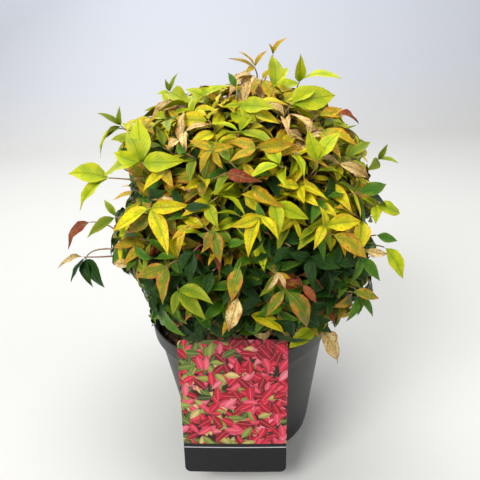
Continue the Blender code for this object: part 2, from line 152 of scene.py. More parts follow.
# %% Floor and light
PAPER_TONES = ((0.0, "#CBCAC6"), (0.12, "#CBCDD1"), (0.5, "#D3D7E1"), (1.0, "#D8DCE6"))
FLOOR_SIZE, FLOOR_MIDDLE, FLOOR_BACK = 4.0, -0.9, 1.0
SWEEP_RADIUS, SWEEP_STEPS, BACKDROP_HEIGHT = 0.5, 12, 1.6
paper, tree, shader = new_material("matt_studio_paper", 0.8, 0.2)
place = add(tree, "TexCoord").outputs["Object"]
height = add(tree, "SeparateXYZ", None, (place,))
tone = add(tree, "ValToRGB", {"stops": PAPER_TONES}, {"Fac": height.outputs[2]})
feed(tree, shader, {"Base Color": tone})

bpy.ops.mesh.primitive_plane_add(size=FLOOR_SIZE, location=(0.0, FLOOR_MIDDLE, 0.0))
floor = bpy.context.object
floor.name = "floor"
bpy.ops.object.transform_apply(location=True, rotation=True, scale=True)
deselect_mesh(floor)
for edge in floor.data.edges:
    edge.select = all(floor.data.vertices[v].co.y > FLOOR_BACK for v in edge.vertices)
edit_mode("EDGE")
for k in range(SWEEP_STEPS):
    angle = math.pi / 2 * (k + 0.5) / SWEEP_STEPS
    reach = SWEEP_RADIUS * math.pi / 2 / SWEEP_STEPS
    extrude(0.0, reach * math.cos(angle), reach * math.sin(angle))
extrude(0.0, 0.0, BACKDROP_HEIGHT)
bpy.ops.object.mode_set(mode="OBJECT")
bpy.ops.object.shade_smooth()
floor.data.materials.append(paper)

LAMPS = (
    ("key_lamp", (-0.9, -1.1, 1.5), 0.9, 33.0),
    ("side_lamp", (1.3, -0.5, 1.0), 1.2, 9.0),
    ("top_lamp", (0.1, 0.3, 1.7), 1.2, 19.0),
    ("back_lamp", (-0.6, 1.0, 1.1), 1.0, 7.0),
)
PLANT_MIDDLE, SKY_COLOUR, SKY_STRENGTH = Vector((0.0, 0.0, 0.18)), "#F1F4FA", 0.30
for name, place, size, power in LAMPS:
    bpy.ops.object.light_add(type="AREA", location=place)
    lamp = bpy.context.object
    lamp.name = name
    lamp.data.size, lamp.data.energy = size, power
    lamp.rotation_euler = (PLANT_MIDDLE - Vector(place)).to_track_quat("-Z", "Y").to_euler()

world = bpy.data.worlds.new("soft_room_light")
world.use_nodes = True
sky = world.node_tree.nodes["Background"]
feed(world.node_tree, sky, {"Color": linear(SKY_COLOUR), "Strength": SKY_STRENGTH})
bpy.context.scene.world = world
bpy.context.scene.view_settings.view_transform = "Standard"
print("lamps:", len(LAMPS))

# %% [markdown]
# The pot is thrown here much as a potter pulls up a wall. A disc with 96 sides is the underside, and
# its cap is extruded and widened from ring to ring: up the outside, over the lip, down the inside, and
# in to the floor. Spinning a profile would also do, but this way the wall is closed from the start. The
# notches at the foot and the drain holes are then cut with a Boolean, as a mould leaves them open.

# %% Pot
POT_HEIGHT, POT_BASE_RADIUS, POT_WALL_RADIUS = 0.132, 0.0645, 0.0805
POT_RIM_RADIUS, POT_RIM_HEIGHT, POT_RIM_FLARE, POT_WALL = 0.0850, 0.0155, 0.0008, 0.0015
POT_SIDES, WALL_RINGS = 96, 8
POT_STEP = POT_HEIGHT - POT_RIM_HEIGHT


def wall_radius(height):
    return POT_BASE_RADIUS + (POT_WALL_RADIUS - POT_BASE_RADIUS) * height / POT_STEP


def rings(radius, height, steps):
    """Rings given by how far out and up they are from one radius and height."""
    return [(radius + out, height + up) for out, up in steps]


WALL_HEIGHTS = [POT_STEP * k / WALL_RINGS for k in range(1, WALL_RINGS)]
profile = rings(POT_BASE_RADIUS, 0.0, ((-0.0012, 0.0), (-0.0003, 0.0004)))
profile += [(wall_radius(height), height) for height in (0.0016, *WALL_HEIGHTS)]
profile += rings(POT_WALL_RADIUS, POT_STEP, ((-0.0001, -0.0012), (0.0006, -0.0002)))
rim_foot = ((-0.0008, 0.0), (-0.0001, 0.0005), (0.0, 0.0014))
profile += rings(POT_RIM_RADIUS - POT_RIM_FLARE, POT_STEP, rim_foot)
profile += rings(POT_RIM_RADIUS, POT_HEIGHT, ((-0.0002, -0.0016), (-0.0002, -0.0006), (-0.0007, 0.0)))
profile += rings(POT_RIM_RADIUS - POT_WALL, POT_HEIGHT, ((0.0, -0.0001), (-0.0003, -0.0008)))
profile += rings(POT_RIM_RADIUS - POT_WALL, POT_STEP + POT_WALL, ((-POT_RIM_FLARE, 0.0012),))
profile += rings(POT_WALL_RADIUS - POT_WALL, POT_STEP, ((0.0012, POT_WALL), (0.0, -0.0006)))
profile.append((POT_BASE_RADIUS - POT_WALL, POT_WALL))

bpy.ops.mesh.primitive_circle_add(vertices=POT_SIDES, radius=profile[0][0], fill_type="NGON")
pot = bpy.context.object
pot.name = "pot_shell"
edit_mode("FACE")
bpy.ops.mesh.select_all(action="SELECT")
for (radius, height), (next_radius, next_height) in zip(profile, profile[1:]):
    extrude(0.0, 0.0, next_height - height)
    ratio = next_radius / radius
    bpy.ops.transform.resize(value=(ratio, ratio, 1.0), center_override=(0.0, 0.0, next_height))
bpy.ops.mesh.select_all(action="SELECT")
bpy.ops.mesh.normals_make_consistent(inside=False)
bpy.ops.object.mode_set(mode="OBJECT")
print("rings:", len(profile), "faces:", len(pot.data.polygons))

# %% Openings at the pot's foot
NOTCH_COUNT, NOTCH_DEPTH, NOTCH_WIDTH, NOTCH_HEIGHT, NOTCH_INSET = 8, 0.013, 0.012, 0.005, 0.002
DRAIN_COUNT, DRAIN_RADIUS, DRAIN_CIRCLE, DRAIN_DEPTH = 4, 0.005, 0.034, 0.02


def around_foot(count, radius):
    """Places that are spaced evenly round the pot's middle, each with its turn."""
    turns = [(k + 0.5) * math.tau / count for k in range(count)]
    return [(turn, (radius * math.cos(turn), radius * math.sin(turn), 0.0)) for turn in turns]


cutters = []
for turn, place in around_foot(NOTCH_COUNT, POT_BASE_RADIUS + NOTCH_INSET):
    bpy.ops.mesh.primitive_cube_add(size=1.0, location=place, rotation=(0.0, 0.0, turn))
    bpy.context.object.scale = (NOTCH_DEPTH, NOTCH_WIDTH, 2 * NOTCH_HEIGHT)
    cutters.append(bpy.context.object)
for turn, place in around_foot(DRAIN_COUNT, DRAIN_CIRCLE):
    bpy.ops.mesh.primitive_cylinder_add(vertices=24, radius=DRAIN_RADIUS, depth=DRAIN_DEPTH, location=place)
    cutters.append(bpy.context.object)
bpy.ops.object.select_all(action="DESELECT")
for cutter in cutters:
    cutter.select_set(True)
bpy.context.view_layer.objects.active = cutters[0]
bpy.ops.object.join()
cutter = bpy.context.object
bpy.ops.object.transform_apply(location=True, rotation=True, scale=True)
bpy.context.view_layer.objects.active = pot
cut = pot.modifiers.new("foot openings", "BOOLEAN")
cut.object, cut.operation = cutter, "DIFFERENCE"
bpy.ops.object.modifier_apply(modifier=cut.name)
bpy.data.objects.remove(cutter)
bpy.ops.object.select_all(action="DESELECT")
pot.select_set(True)
bpy.ops.object.shade_smooth_by_angle(angle=math.radians(35))
print("pot faces:", len(pot.data.polygons))

# %% [markdown]
# Nursery pots are injection-moulded polypropylene, coloured through with carbon black. The mould's
# fine grain gives a soft, broad shine rather than a mirror, so the roughness is middling and a very
# small bump breaks it up. Handling leaves faint pale scuffs and dust, which a stretched noise draws.

# %% Polypropylene of the pot
CARBON_BLACKS = ((0.18, "#191919"), (0.30, "#222223"), (0.46, "#333335"))
plastic, tree, shader = new_material("moulded_polypropylene", 0.42, 0.5)
place = add(tree, "TexCoord").outputs["Object"]
stretched = add(tree, "Mapping", None, {"Vector": place, "Scale": (60.0, 60.0, 240.0)})
scuffs = add(tree, "TexNoise", None, {"Vector": stretched, "Scale": 1.0, "Detail": 6.0})
clouds = add(tree, "TexNoise", None, {"Vector": place, "Scale": 22.0, "Detail": 4.0})
dust = add(tree, "Math", "MULTIPLY", (scuffs, clouds))
tone = add(tree, "ValToRGB", {"stops": CARBON_BLACKS}, {"Fac": dust})
shine = add(tree, "MapRange", None, {"Value": clouds, "To Min": 0.34, "To Max": 0.50})
grain = add(tree, "TexNoise", None, {"Vector": place, "Scale": 900.0, "Detail": 2.0})
bump = add(tree, "Bump", None, {"Height": grain, "Strength": 0.12, "Distance": 0.0004})
feed(tree, shader, {"Base Color": tone, "Roughness": shine, "Normal": bump})
pot.data.materials.append(plastic)
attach(pot, "root")
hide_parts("pot")
print("pot material nodes:", len(tree.nodes))

# %% [markdown]
# Potting soil is peat with crumbs and chips of bark. The root ball's solid stays as it is and shows
# only at the drain holes. Its top gets a crumbly skin: a fine grid, trimmed to a disc and pushed up and
# down by two noises. Loose chips are then strewn over it, as one mesh of small wedges.

# %% Topsoil
SOIL_TOP, SOIL_FALL, CRUMB, SOIL_GRID = 0.120, 0.004, 0.0022, 130
SOIL_RADIUS = wall_radius(SOIL_TOP - SOIL_FALL) - POT_WALL - 0.0004
soil_draw = random.Random(3)


def soil_height(x, y):
    """The top of the crumbs: level under the canes and lower towards the pot's wall."""
    share = math.hypot(x, y) / SOIL_RADIUS
    fall = SOIL_FALL * max(0.0, (share - 0.78) / 0.22)
    wave = math.sin(71 * x + 1.3) * math.sin(83 * y + 0.4) + 0.5 * math.sin(190 * x - 160 * y)
    return SOIL_TOP - fall + 0.0006 + 0.0007 * (1 + wave)


bpy.ops.mesh.primitive_grid_add(x_subdivisions=SOIL_GRID, y_subdivisions=SOIL_GRID, size=2 * SOIL_RADIUS)
topsoil = bpy.context.object
topsoil.name = "topsoil"
deselect_mesh(topsoil)
for vertex in topsoil.data.vertices:
    vertex.select = vertex.co.length > SOIL_RADIUS - 0.0002
edit_mode("VERT")
bpy.ops.mesh.delete(type="VERT")
bpy.ops.object.mode_set(mode="OBJECT")
for vertex in topsoil.data.vertices:
    x, y = vertex.co.x, vertex.co.y
    vertex.co.z = soil_height(x, y) + CRUMB * soil_draw.random() * soil_draw.random()
bpy.ops.object.shade_smooth()

PEAT_BROWNS = ((0.12, "#120C09"), (0.25, "#2B1D15"), (0.36, "#4A3322"), (0.48, "#6E5138"))
peat, tree, shader = new_material("moist_peat", 0.92, 0.3)
place = add(tree, "TexCoord").outputs["Object"]
crumbs = add(tree, "TexNoise", None, {"Vector": place, "Scale": 420.0, "Detail": 5.0})
patches = add(tree, "TexNoise", None, {"Vector": place, "Scale": 60.0, "Detail": 3.0})
mixed = add(tree, "Math", "MULTIPLY", (crumbs, patches))
tone = add(tree, "ValToRGB", {"stops": PEAT_BROWNS}, {"Fac": mixed})
bump = add(tree, "Bump", None, {"Height": crumbs, "Strength": 0.8, "Distance": 0.0012})
feed(tree, shader, {"Base Color": tone, "Normal": bump})
topsoil.data.materials.append(peat)
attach(topsoil, "root")
soil_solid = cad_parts["soil"]
soil_solid.data.materials.clear()
soil_solid.data.materials.append(peat)
print("topsoil faces:", len(topsoil.data.polygons))


# %% Bark chips on the soil
def joined(name, points, faces, finish, smooth=False):
    """One mesh from lists of points and faces, for what repeats many times."""
    mesh = bpy.data.meshes.new(name)
    mesh.from_pydata([tuple(p) for p in points], [], faces)
    mesh.polygons.foreach_set("use_smooth", [smooth] * len(mesh.polygons))
    mesh.materials.append(finish)
    piece = bpy.data.objects.new(name, mesh)
    bpy.context.scene.collection.objects.link(piece)
    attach(piece, "root")
    return piece


def lay_in(points, faces, more_points, more_faces):
    """Lays one more shape into the lists of points and faces."""
    faces.extend([tuple(len(points) + n for n in face) for face in more_faces])
    points.extend(more_points)


CHIP_COUNT, CHIP_LIFT = 420, 0.0012
CHIP_CORNERS = [(x, y, z) for z in (-0.5, 0.5) for y in (-0.5, 0.5) for x in (-0.5, 0.5)]
BOX_FACES = ((0, 2, 3, 1), (4, 5, 7, 6), (0, 1, 5, 4), (1, 3, 7, 5), (3, 2, 6, 7), (2, 0, 4, 6))
points, faces = [], []
for k in range(CHIP_COUNT):
    turn, reach = soil_draw.uniform(0, math.tau), SOIL_RADIUS * 0.97 * math.sqrt(soil_draw.random())
    x, y = reach * math.cos(turn), reach * math.sin(turn)
    size = [soil_draw.uniform(low, high) * 0.001 for low, high in ((2, 7), (1.2, 3), (0.6, 1.6))]
    flat_turn = Matrix.Rotation(soil_draw.uniform(0, math.tau), 3, "Z")
    spin = flat_turn @ Matrix.Rotation(soil_draw.gauss(0, 0.35), 3, "Y")
    where = Vector((x, y, soil_height(x, y) + CHIP_LIFT))
    corners = []
    for a, b, c in CHIP_CORNERS:
        taper = 1.0 - 0.5 * soil_draw.random() * (a > 0)
        corners.append(where + spin @ Vector((a * size[0], b * size[1] * taper, c * size[2] * taper)))
    lay_in(points, faces, corners, BOX_FACES)

CHIP_BROWNS = ((0.30, "#1D130D"), (0.48, "#4B3221"), (0.60, "#75553A"), (0.72, "#A08465"))
bark_chip, tree, shader = new_material("composted_bark", 0.85, 0.3)
place = add(tree, "TexCoord").outputs["Object"]
fibre = add(tree, "TexNoise", None, {"Vector": place, "Scale": 130.0, "Detail": 4.0})
tone = add(tree, "ValToRGB", {"stops": CHIP_BROWNS}, {"Fac": fibre})
feed(tree, shader, {"Base Color": tone})
chips = joined("soil_chips", points, faces, bark_chip)
print("chips:", CHIP_COUNT)

# %% [markdown]
# The label is a thin printed card of glossy plastic. It hangs on a tongue that folds back over the
# pot's lip and is pushed into the soil, and its foot leans out a little. A grid gives the card. The
# middle of its top edge is extruded along the fold, the corners are rounded with a vertex bevel, and
# Solidify gives the thickness.

# %% Label card
LABEL_WIDTH, LABEL_HEIGHT, LABEL_FOOT = 0.0888, 0.1335, 0.0207
LABEL_THICK, LABEL_CORNER, LABEL_SIDE = 0.0006, 0.005, -0.0088
LABEL_TURN, LABEL_SWING, LABEL_LEAN = math.radians(1.85), math.radians(-3.0), math.radians(6.0)
LABEL_FRONT = -POT_RIM_RADIUS - 0.0010 - LABEL_THICK
LABEL_COLUMNS, LABEL_ROWS, LABEL_BOW = 11, 16, 0.0006
LABEL_TOP, LABEL_MIDDLE = LABEL_FOOT + LABEL_HEIGHT, LABEL_FOOT + LABEL_HEIGHT / 2
FOLD_DEPTH, FOLD_RISE, NEAR_EDGE = 0.0030, 0.0022, 0.0005

bpy.ops.mesh.primitive_grid_add(
    x_subdivisions=LABEL_COLUMNS,
    y_subdivisions=LABEL_ROWS,
    size=1.0,
    location=(0.0, LABEL_FRONT, LABEL_MIDDLE),
    rotation=(math.pi / 2, 0.0, 0.0),
)
card = bpy.context.object
card.name = "picture_card"
card.scale = (LABEL_WIDTH, LABEL_HEIGHT, 1.0)
bpy.ops.object.transform_apply(location=True, rotation=True, scale=True)
deselect_mesh(card)
half_tongue = LABEL_WIDTH / LABEL_COLUMNS * 1.5 + NEAR_EDGE
for edge in card.data.edges:
    ends = [card.data.vertices[v].co for v in edge.vertices]
    edge.select = all(p.z > LABEL_TOP - NEAR_EDGE and abs(p.x) < half_tongue for p in ends)
fold = [(0.0, 0.0)]
fold += [(FOLD_DEPTH * (1 - math.cos(k * 0.5)), FOLD_RISE * math.sin(k * 0.5)) for k in range(1, 6)]
fold = [(LABEL_FRONT + back, LABEL_TOP + up) for back, up in fold]
inner_wall = -wall_radius(SOIL_TOP)
fold += [(inner_wall + 0.0078, SOIL_TOP + 0.006), (inner_wall + 0.0068, SOIL_TOP - 0.010)]
edit_mode("EDGE")
for (y, z), (next_y, next_z) in zip(fold, fold[1:]):
    extrude(0.0, next_y - y, next_z - z)
bpy.ops.object.mode_set(mode="OBJECT")
deselect_mesh(card)
for vertex in card.data.vertices:
    at_side = abs(vertex.co.x) > LABEL_WIDTH / 2 - NEAR_EDGE
    vertex.select = at_side and abs(vertex.co.z - LABEL_MIDDLE) > LABEL_HEIGHT / 2 - NEAR_EDGE
edit_mode("VERT")
bpy.ops.mesh.bevel(offset=LABEL_CORNER, segments=5, affect="VERTICES")
bpy.ops.mesh.select_all(action="SELECT")
bpy.ops.object.mode_set(mode="OBJECT")
SURFACE_MAP, MAP_EDGE, MAP_SPAN = "OFBake", 0.02, 0.94
card_map = card.data.uv_layers.new(name=SURFACE_MAP)
for loop in card.data.loops:
    p = card.data.vertices[loop.vertex_index].co
    on_card = p.y < LABEL_FRONT + 0.0001
    u = (p.x + LABEL_WIDTH / 2) / LABEL_HEIGHT
    v = (p.z - LABEL_FOOT) / LABEL_HEIGHT if on_card else 1.0
    card_map.data[loop.index].uv = (MAP_EDGE + MAP_SPAN * u, MAP_EDGE + MAP_SPAN * v)
top_edge = Vector((0.0, LABEL_FRONT, LABEL_TOP))
for vertex in card.data.vertices:
    if vertex.co.y < LABEL_FRONT + 0.0001:
        vertex.co.y -= LABEL_BOW * (1 - (2 * vertex.co.x / LABEL_WIDTH) ** 2)
        vertex.co = top_edge + Matrix.Rotation(-LABEL_LEAN, 3, "X") @ (vertex.co - top_edge)
hinge = Vector((0.0, LABEL_FRONT, POT_HEIGHT))
askew = Matrix.Rotation(LABEL_SWING, 4, "Z") @ Matrix.Rotation(LABEL_TURN, 4, "Y")
aside = Matrix.Translation(hinge + Vector((LABEL_SIDE, 0.0, 0.0)))
card.data.transform(aside @ askew @ Matrix.Translation(-hinge))
thick = card.modifiers.new("card thickness", "SOLIDIFY")
thick.thickness, thick.offset = LABEL_THICK, -1.0
bpy.ops.object.modifier_apply(modifier=thick.name)
bpy.ops.object.shade_smooth_by_angle(angle=math.radians(30))
print("card faces:", len(card.data.polygons))

# %% [markdown]
# The print is a close view of red and pink leaves with some green ones. It is drawn as a printer's
# pattern would be: each cell of a Voronoi texture gets one small leaf, turned at random round the
# cell's own centre and tinted from a short range of colours. Six such layers lie over each other, and
# a plain dark band with a thin pale rule closes the foot of the card. There is no lettering.


# %% Print on the card
printed, tree, shader = new_material("printed_glossy_card", 0.28, 0.3)
TO_MM = LABEL_HEIGHT / MAP_SPAN * 1000
REDS = ((0.0, "#860B1C"), (0.3, "#BE1230"), (0.6, "#DC2946"), (0.85, "#E8566E"), (1.0, "#F08C98"))
GREENS = ((0.0, "#2F4F1E"), (0.35, "#5E7E2B"), (0.65, "#93A244"), (1.0, "#D9C27A"))
uv = add(tree, "UVMap", {"uv_map": SURFACE_MAP})
from_corner = (-MAP_EDGE * TO_MM, -MAP_EDGE * TO_MM, 0.0)
surface = add(tree, "Mapping", None, {"Vector": uv, "Location": from_corner, "Scale": (TO_MM,) * 3})
zone = add(tree, "TexNoise", FLAT_NOISE, {"Vector": surface, "Scale": 0.035, "Detail": 1.0})
spot = add(tree, "SeparateXYZ", None, (surface,))
lean = add(tree, "MapRange", None, {"Value": spot, "From Min": 70.0, "From Max": 15.0, "To Max": 0.55})
amount = add(tree, "Math", "MULTIPLY", (zone, lean))
green_share = add(tree, "Math", "MULTIPLY_ADD", (amount, 1.9, 0.03))
ground = add(tree, "ValToRGB", {"stops": ((0.35, "#3A0C12"), (0.65, "#1E2A12"))}, {"Fac": zone})


def leaf_layer(below, density, offset):
    """One layer of printed leaves over the colour below. Its density is in cells for a millimetre."""
    moved = add(tree, "VectorMath", "ADD", (surface, (offset, 1.7 * offset, 0.0)))
    cells = add(tree, "TexVoronoi", FLAT_CELLS, {"Vector": moved, "Scale": density, "Randomness": 0.65})
    away = add(tree, "VectorMath", "SUBTRACT", (moved, cells.outputs["Position"]))
    draw = add(tree, "SeparateColor", None, (cells.outputs["Color"],))
    angle = add(tree, "Math", "MULTIPLY", (draw, math.tau))
    turned = add(tree, "VectorRotate", {"rotation_type": "Z_AXIS"}, {"Vector": away, "Angle": angle})
    scaled = add(tree, "VectorMath", "SCALE", {0: turned, "Scale": density})
    part = add(tree, "SeparateXYZ", None, (scaled,))
    along = add(tree, "Math", "MULTIPLY", (part, part))
    width = add(tree, "MapRange", None, {"Value": along, "From Max": 0.31, "To Min": 0.25, "To Max": 0.0})
    side = add(tree, "Math", "ABSOLUTE", (part.outputs[1],))
    depth = add(tree, "Math", "SUBTRACT", (width, side))
    mask = add(tree, "MapRange", None, {"Value": depth, "From Max": 0.03})
    red = add(tree, "ValToRGB", {"stops": REDS}, {"Fac": draw.outputs[1]})
    green = add(tree, "ValToRGB", {"stops": GREENS}, {"Fac": draw.outputs[1]})
    is_green = add(tree, "Math", "LESS_THAN", (draw.outputs[2], green_share))
    colour = add(tree, "Mix", COLOURS, {0: is_green, 6: red, 7: green})
    half = add(tree, "Math", "GREATER_THAN", (part.outputs[1], 0.0))
    rib = add(tree, "MapRange", None, {"Value": side, "From Max": 0.03, "To Min": 0.6})
    shade = add(tree, "Math", "MULTIPLY_ADD", (half, -0.22, 1.0))
    soft = add(tree, "MapRange", None, {"Value": depth, "From Max": 0.2, "To Min": 0.72, "To Max": 1.08})
    lit = add(tree, "Math", "MULTIPLY", (shade, soft))
    shaded = add(tree, "HueSaturation", None, {"Color": colour.outputs[2], "Value": lit})
    ribbed = add(tree, "Mix", COLOURS, {0: rib, 6: linear("#F0A09C"), 7: shaded})
    return add(tree, "Mix", COLOURS, {0: mask, 6: below, 7: ribbed.outputs[2]}).outputs[2]


picture = ground
LEAF_PRINTS = ((0.105, 3.0), (0.098, 11.0), (0.092, 29.0), (0.086, 53.0), (0.080, 71.0), (0.074, 97.0))
for density, offset in LEAF_PRINTS:
    picture = leaf_layer(picture, density, offset)
BAND_TOP, RULE_BELOW, RULE_HEIGHT = 31.0, 4.0, 0.7
in_band = add(tree, "Math", "LESS_THAN", (spot.outputs[1], BAND_TOP))
banded = add(tree, "Mix", COLOURS, {0: in_band, 6: picture, 7: linear("#19171B")})
from_rule = add(tree, "Math", "SUBTRACT", (spot.outputs[1], BAND_TOP - RULE_BELOW))
rule_side = add(tree, "Math", "ABSOLUTE", (from_rule,))
in_rule = add(tree, "Math", "LESS_THAN", (rule_side, RULE_HEIGHT / 2))
ruled = add(tree, "Mix", COLOURS, {0: in_rule, 6: banded.outputs[2], 7: linear("#D8D6DA")})
feed(tree, shader, {"Base Color": ruled.outputs[2]})
card.data.materials.append(printed)
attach(card, "root")
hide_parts("label")
print("card material nodes:", len(tree.nodes))

# %% [markdown]
# The shrub is grown by a rule, not placed leaf by leaf. Canes rise from the soil in rings and lean
# out. Each carries one mass of foliage, whose space is all that lies nearest to its middle. Sprays,
# which are whole compound leaves, end at even places under the crown's egg-shaped outline. The solids were
# grown by this rule too. Here it is carried to finer twigs, and the leaves face a little more upwards.

# %% Rule of the crown
CLEARANCE = 0.0003
CROWN_MIDDLE = Vector((0.006, 0.0, 0.203))
CROWN_REACH, CROWN_UP, CROWN_DOWN, CROWN_FLOOR = 0.131, 0.141, 0.082, 0.128
RINGS = (
    ("top", 1, 0.000, 0.298, 0.000, 0.0),
    ("upper", 4, 0.060, 0.270, 0.018, 45.0),
    ("middle", 6, 0.089, 0.213, 0.032, 30.0),
    ("lower", 5, 0.082, 0.160, 0.047, 18.0),
)
CANE_FOOT, CANE_FLARE, CANE_TIP, CANE_SHARE = 0.0034, 1.5, 0.0020, 0.58
GOLDEN_ANGLE, LEAF_LIFT = 137.508, 0.75
LEAF_WIDTH, LEAF_THICK, LEAF_WIDEST = 0.40, 0.0011, 0.40
LEAF_FREE, LEAF_RISE = 0.10, 0.34
TRIPLET, PAIR, PAIR_BACK, TRIES = (0.0, 66.0, -66.0), (78.0, -78.0), 0.010, 6


def compass(azimuth, rise=0.0):
    """A unit vector from an azimuth and a rise above level, both in degrees."""
    turn, up = math.radians(azimuth), math.radians(rise)
    return Vector((math.cos(turn) * math.cos(up), math.sin(turn) * math.cos(up), math.sin(up)))


def find_masses():
    made = []
    for ring, count, radius, height, foot, first in RINGS:
        for k in range(count):
            out = compass(first + 360.0 * k / count)
            middle = Vector((out.x * radius, out.y * radius, height))
            root = Vector((out.x * foot, out.y * foot, SOIL_TOP + CLEARANCE))
            joint = root.lerp(middle, CANE_SHARE)
            joint.z = root.z + (middle.z - root.z) * (CANE_SHARE + 0.08)
            name = ring if count == 1 else f"{ring}_{k + 1}"
            made.append({"name": name, "middle": middle, "root": root, "joint": joint})
    return made


def bent(start, knee, end, steps):
    """Points along a smooth curve from start to end that sets out towards knee."""
    shares = [k / steps for k in range(steps + 1)]
    return [start * (1 - t) ** 2 + knee * (2 * t * (1 - t)) + end * t**2 for t in shares]


def tube(path, radii, sides):
    """Points and faces of a closed tapering tube along a path."""
    points, faces = [], []
    side = Vector((0.0, 1.0, 0.0))
    for k, point in enumerate(path):
        ahead = (path[min(k + 1, len(path) - 1)] - path[max(k - 1, 0)]).normalized()
        side = (side - ahead * side.dot(ahead)).normalized()
        other = ahead.cross(side)
        for n in range(sides):
            angle = math.tau * n / sides
            points.append(point + (side * math.cos(angle) + other * math.sin(angle)) * radii[k])
    for k in range(len(path) - 1):
        for n in range(sides):
            a, b = k * sides + n, k * sides + (n + 1) % sides
            faces.append((a, b, b + sides, a + sides))
    faces.append(tuple(reversed(range(sides))))
    faces.append(tuple(range(len(points) - sides, len(points))))
    return points, faces


def cane_curve(mass, steps):
    root, joint = mass["root"], mass["joint"]
    knee = Vector((root.x, root.y, root.z + 0.6 * (joint.z - root.z)))
    return bent(root, knee, joint, steps)


def crown_share(point):
    """How far out a point is: 0 at the crown's middle and 1 on its skin."""
    rel = point - CROWN_MIDDLE
    tall = CROWN_UP if rel.z > 0 else CROWN_DOWN
    return math.sqrt((rel.x / CROWN_REACH) ** 2 + (rel.y / CROWN_REACH) ** 2 + (rel.z / tall) ** 2)


def crown_normal(point):
    rel = point - CROWN_MIDDLE
    tall = CROWN_UP if rel.z > 0 else CROWN_DOWN
    slope = Vector((rel.x / CROWN_REACH**2, rel.y / CROWN_REACH**2, rel.z / tall**2)).normalized()
    return (slope + Vector((0.0, 0.0, LEAF_LIFT))).normalized()


MASSES = find_masses()
print("masses:", [mass["name"] for mass in MASSES])

# %% [markdown]
# Some sprays show so plainly in the picture that anyone would miss them: the lime star on the left,
# the tan tuft on top, the pair that hangs over the pot's lip. Each is listed with its kind of leaf, the
# pixel of its node and the pixels of its leaf tips. A line of sight from the camera through a pixel
# meets the crown's skin at one point, so the spray grows there, on the crown, and not in the air. The
# back can't be seen, so a few sprigs like them are spread over it, each with its leaf length.

# %% Sprays placed by the picture
PICTURE_MIDDLE = PICTURE_PIXELS / 2
SIGHT_TURN = camera.rotation_euler.to_matrix()
SIGHT_NEAR, SIGHT_STEP, SIGHT_STEPS = 0.25, 0.001, 380
TIP_RISE, FACING, UP = 0.05, 0.7, Vector((0.0, 0.0, 0.5))
TIP_STRETCH, TIP_SHARE, SHOWN_TILT = 1.2, 0.3, 0.45
SHOWN_SPRAYS = (
    ("lime", (142, 163), (137, 117), (185, 160), (101, 176)),
    ("lime", (110, 178), (67, 173), (77, 210)),
    ("spring", (121, 126), (98, 112), (119, 106), (103, 140)),
    ("spring", (170, 92), (165, 79), (178, 72)),
    ("lime", (170, 93), (191, 106), (157, 94)),
    ("lime", (204, 97), (185, 88), (227, 85)),
    ("lime", (240, 106), (275, 108), (256, 121), (224, 106)),
    ("lime", (117, 128), (98, 157)),
    ("lime", (142, 163), (113, 152), (127, 128)),
    ("yellow", (150, 208), (112, 231), (168, 255), (190, 205)),
    ("spring", (116, 217), (86, 238), (104, 199)),
    ("bronze", (91, 222), (66, 248)),
    ("tan", (84, 257), (57, 267)),
    ("deep", (86, 258), (70, 282), (104, 288), (92, 287)),
    ("blush", (168, 265), (135, 277), (162, 305)),
    ("deep", (194, 251), (189, 285), (178, 274)),
    ("blush", (213, 230), (221, 263), (203, 250)),
    ("gold", (186, 228), (179, 252), (171, 240)),
    ("spring", (178, 289), (213, 303), (172, 315), (206, 319)),
    ("gold", (255, 68), (228, 58), (266, 50), (238, 50), (244, 74)),
    ("tan", (252, 76), (228, 97), (242, 104), (262, 101), (235, 78)),
    ("gold", (262, 80), (252, 95), (276, 104), (272, 68)),
    ("mid", (236, 88), (228, 72)),
    ("lime", (273, 90), (272, 54), (288, 66)),
    ("gold", (273, 55), (269, 43), (287, 37)),
    ("lime", (299, 83), (301, 54), (342, 76), (272, 89)),
    ("lime", (291, 105), (337, 94), (318, 85)),
    ("bronze", (333, 115), (360, 122)),
    ("gold", (318, 116), (343, 108), (344, 116)),
    ("lime", (318, 161), (308, 129), (340, 131), (324, 145)),
    ("gold", (322, 130), (360, 147), (341, 158)),
    ("spring", (347, 158), (371, 141), (352, 141)),
    ("spring", (378, 160), (388, 144), (399, 162), (369, 170)),
    ("tan", (337, 163), (371, 178)),
    ("mid", (358, 191), (388, 184)),
    ("deep", (366, 193), (388, 206)),
    ("lime", (375, 205), (402, 213), (376, 224), (362, 198)),
    ("mid", (376, 235), (398, 241)),
    ("tan", (364, 249), (389, 254)),
    ("lime", (384, 247), (404, 279)),
    ("mid", (360, 258), (381, 281), (352, 284)),
    ("blush", (352, 292), (380, 298)),
    ("mid", (358, 297), (374, 317), (358, 316), (347, 322)),
    ("bronze", (226, 173), (261, 181)),
    ("gold", (213, 150), (189, 140), (233, 146), (199, 172), (223, 169)),
    ("yellow", (260, 217), (230, 227), (248, 257), (279, 240)),
    ("yellow", (324, 226), (362, 221), (321, 206), (314, 249)),
    ("gold", (331, 234), (369, 258)),
    ("tan", (275, 272), (267, 291), (286, 289)),
    ("blush", (240, 266), (231, 302)),
    ("tan", (238, 296), (229, 333)),
    ("blush", (285, 290), (266, 317), (309, 329)),
)
LIP_SPRAYS = (
    ("lime", (319, 327), (288, 349), -0.090),
    ("tan", (320, 328), (340, 364), -0.086),
)


def sight(pixel):
    ahead = Vector((pixel[0] - PICTURE_MIDDLE, PICTURE_MIDDLE - pixel[1], -FOCAL_PIXELS))
    return SIGHT_TURN @ ahead.normalized()


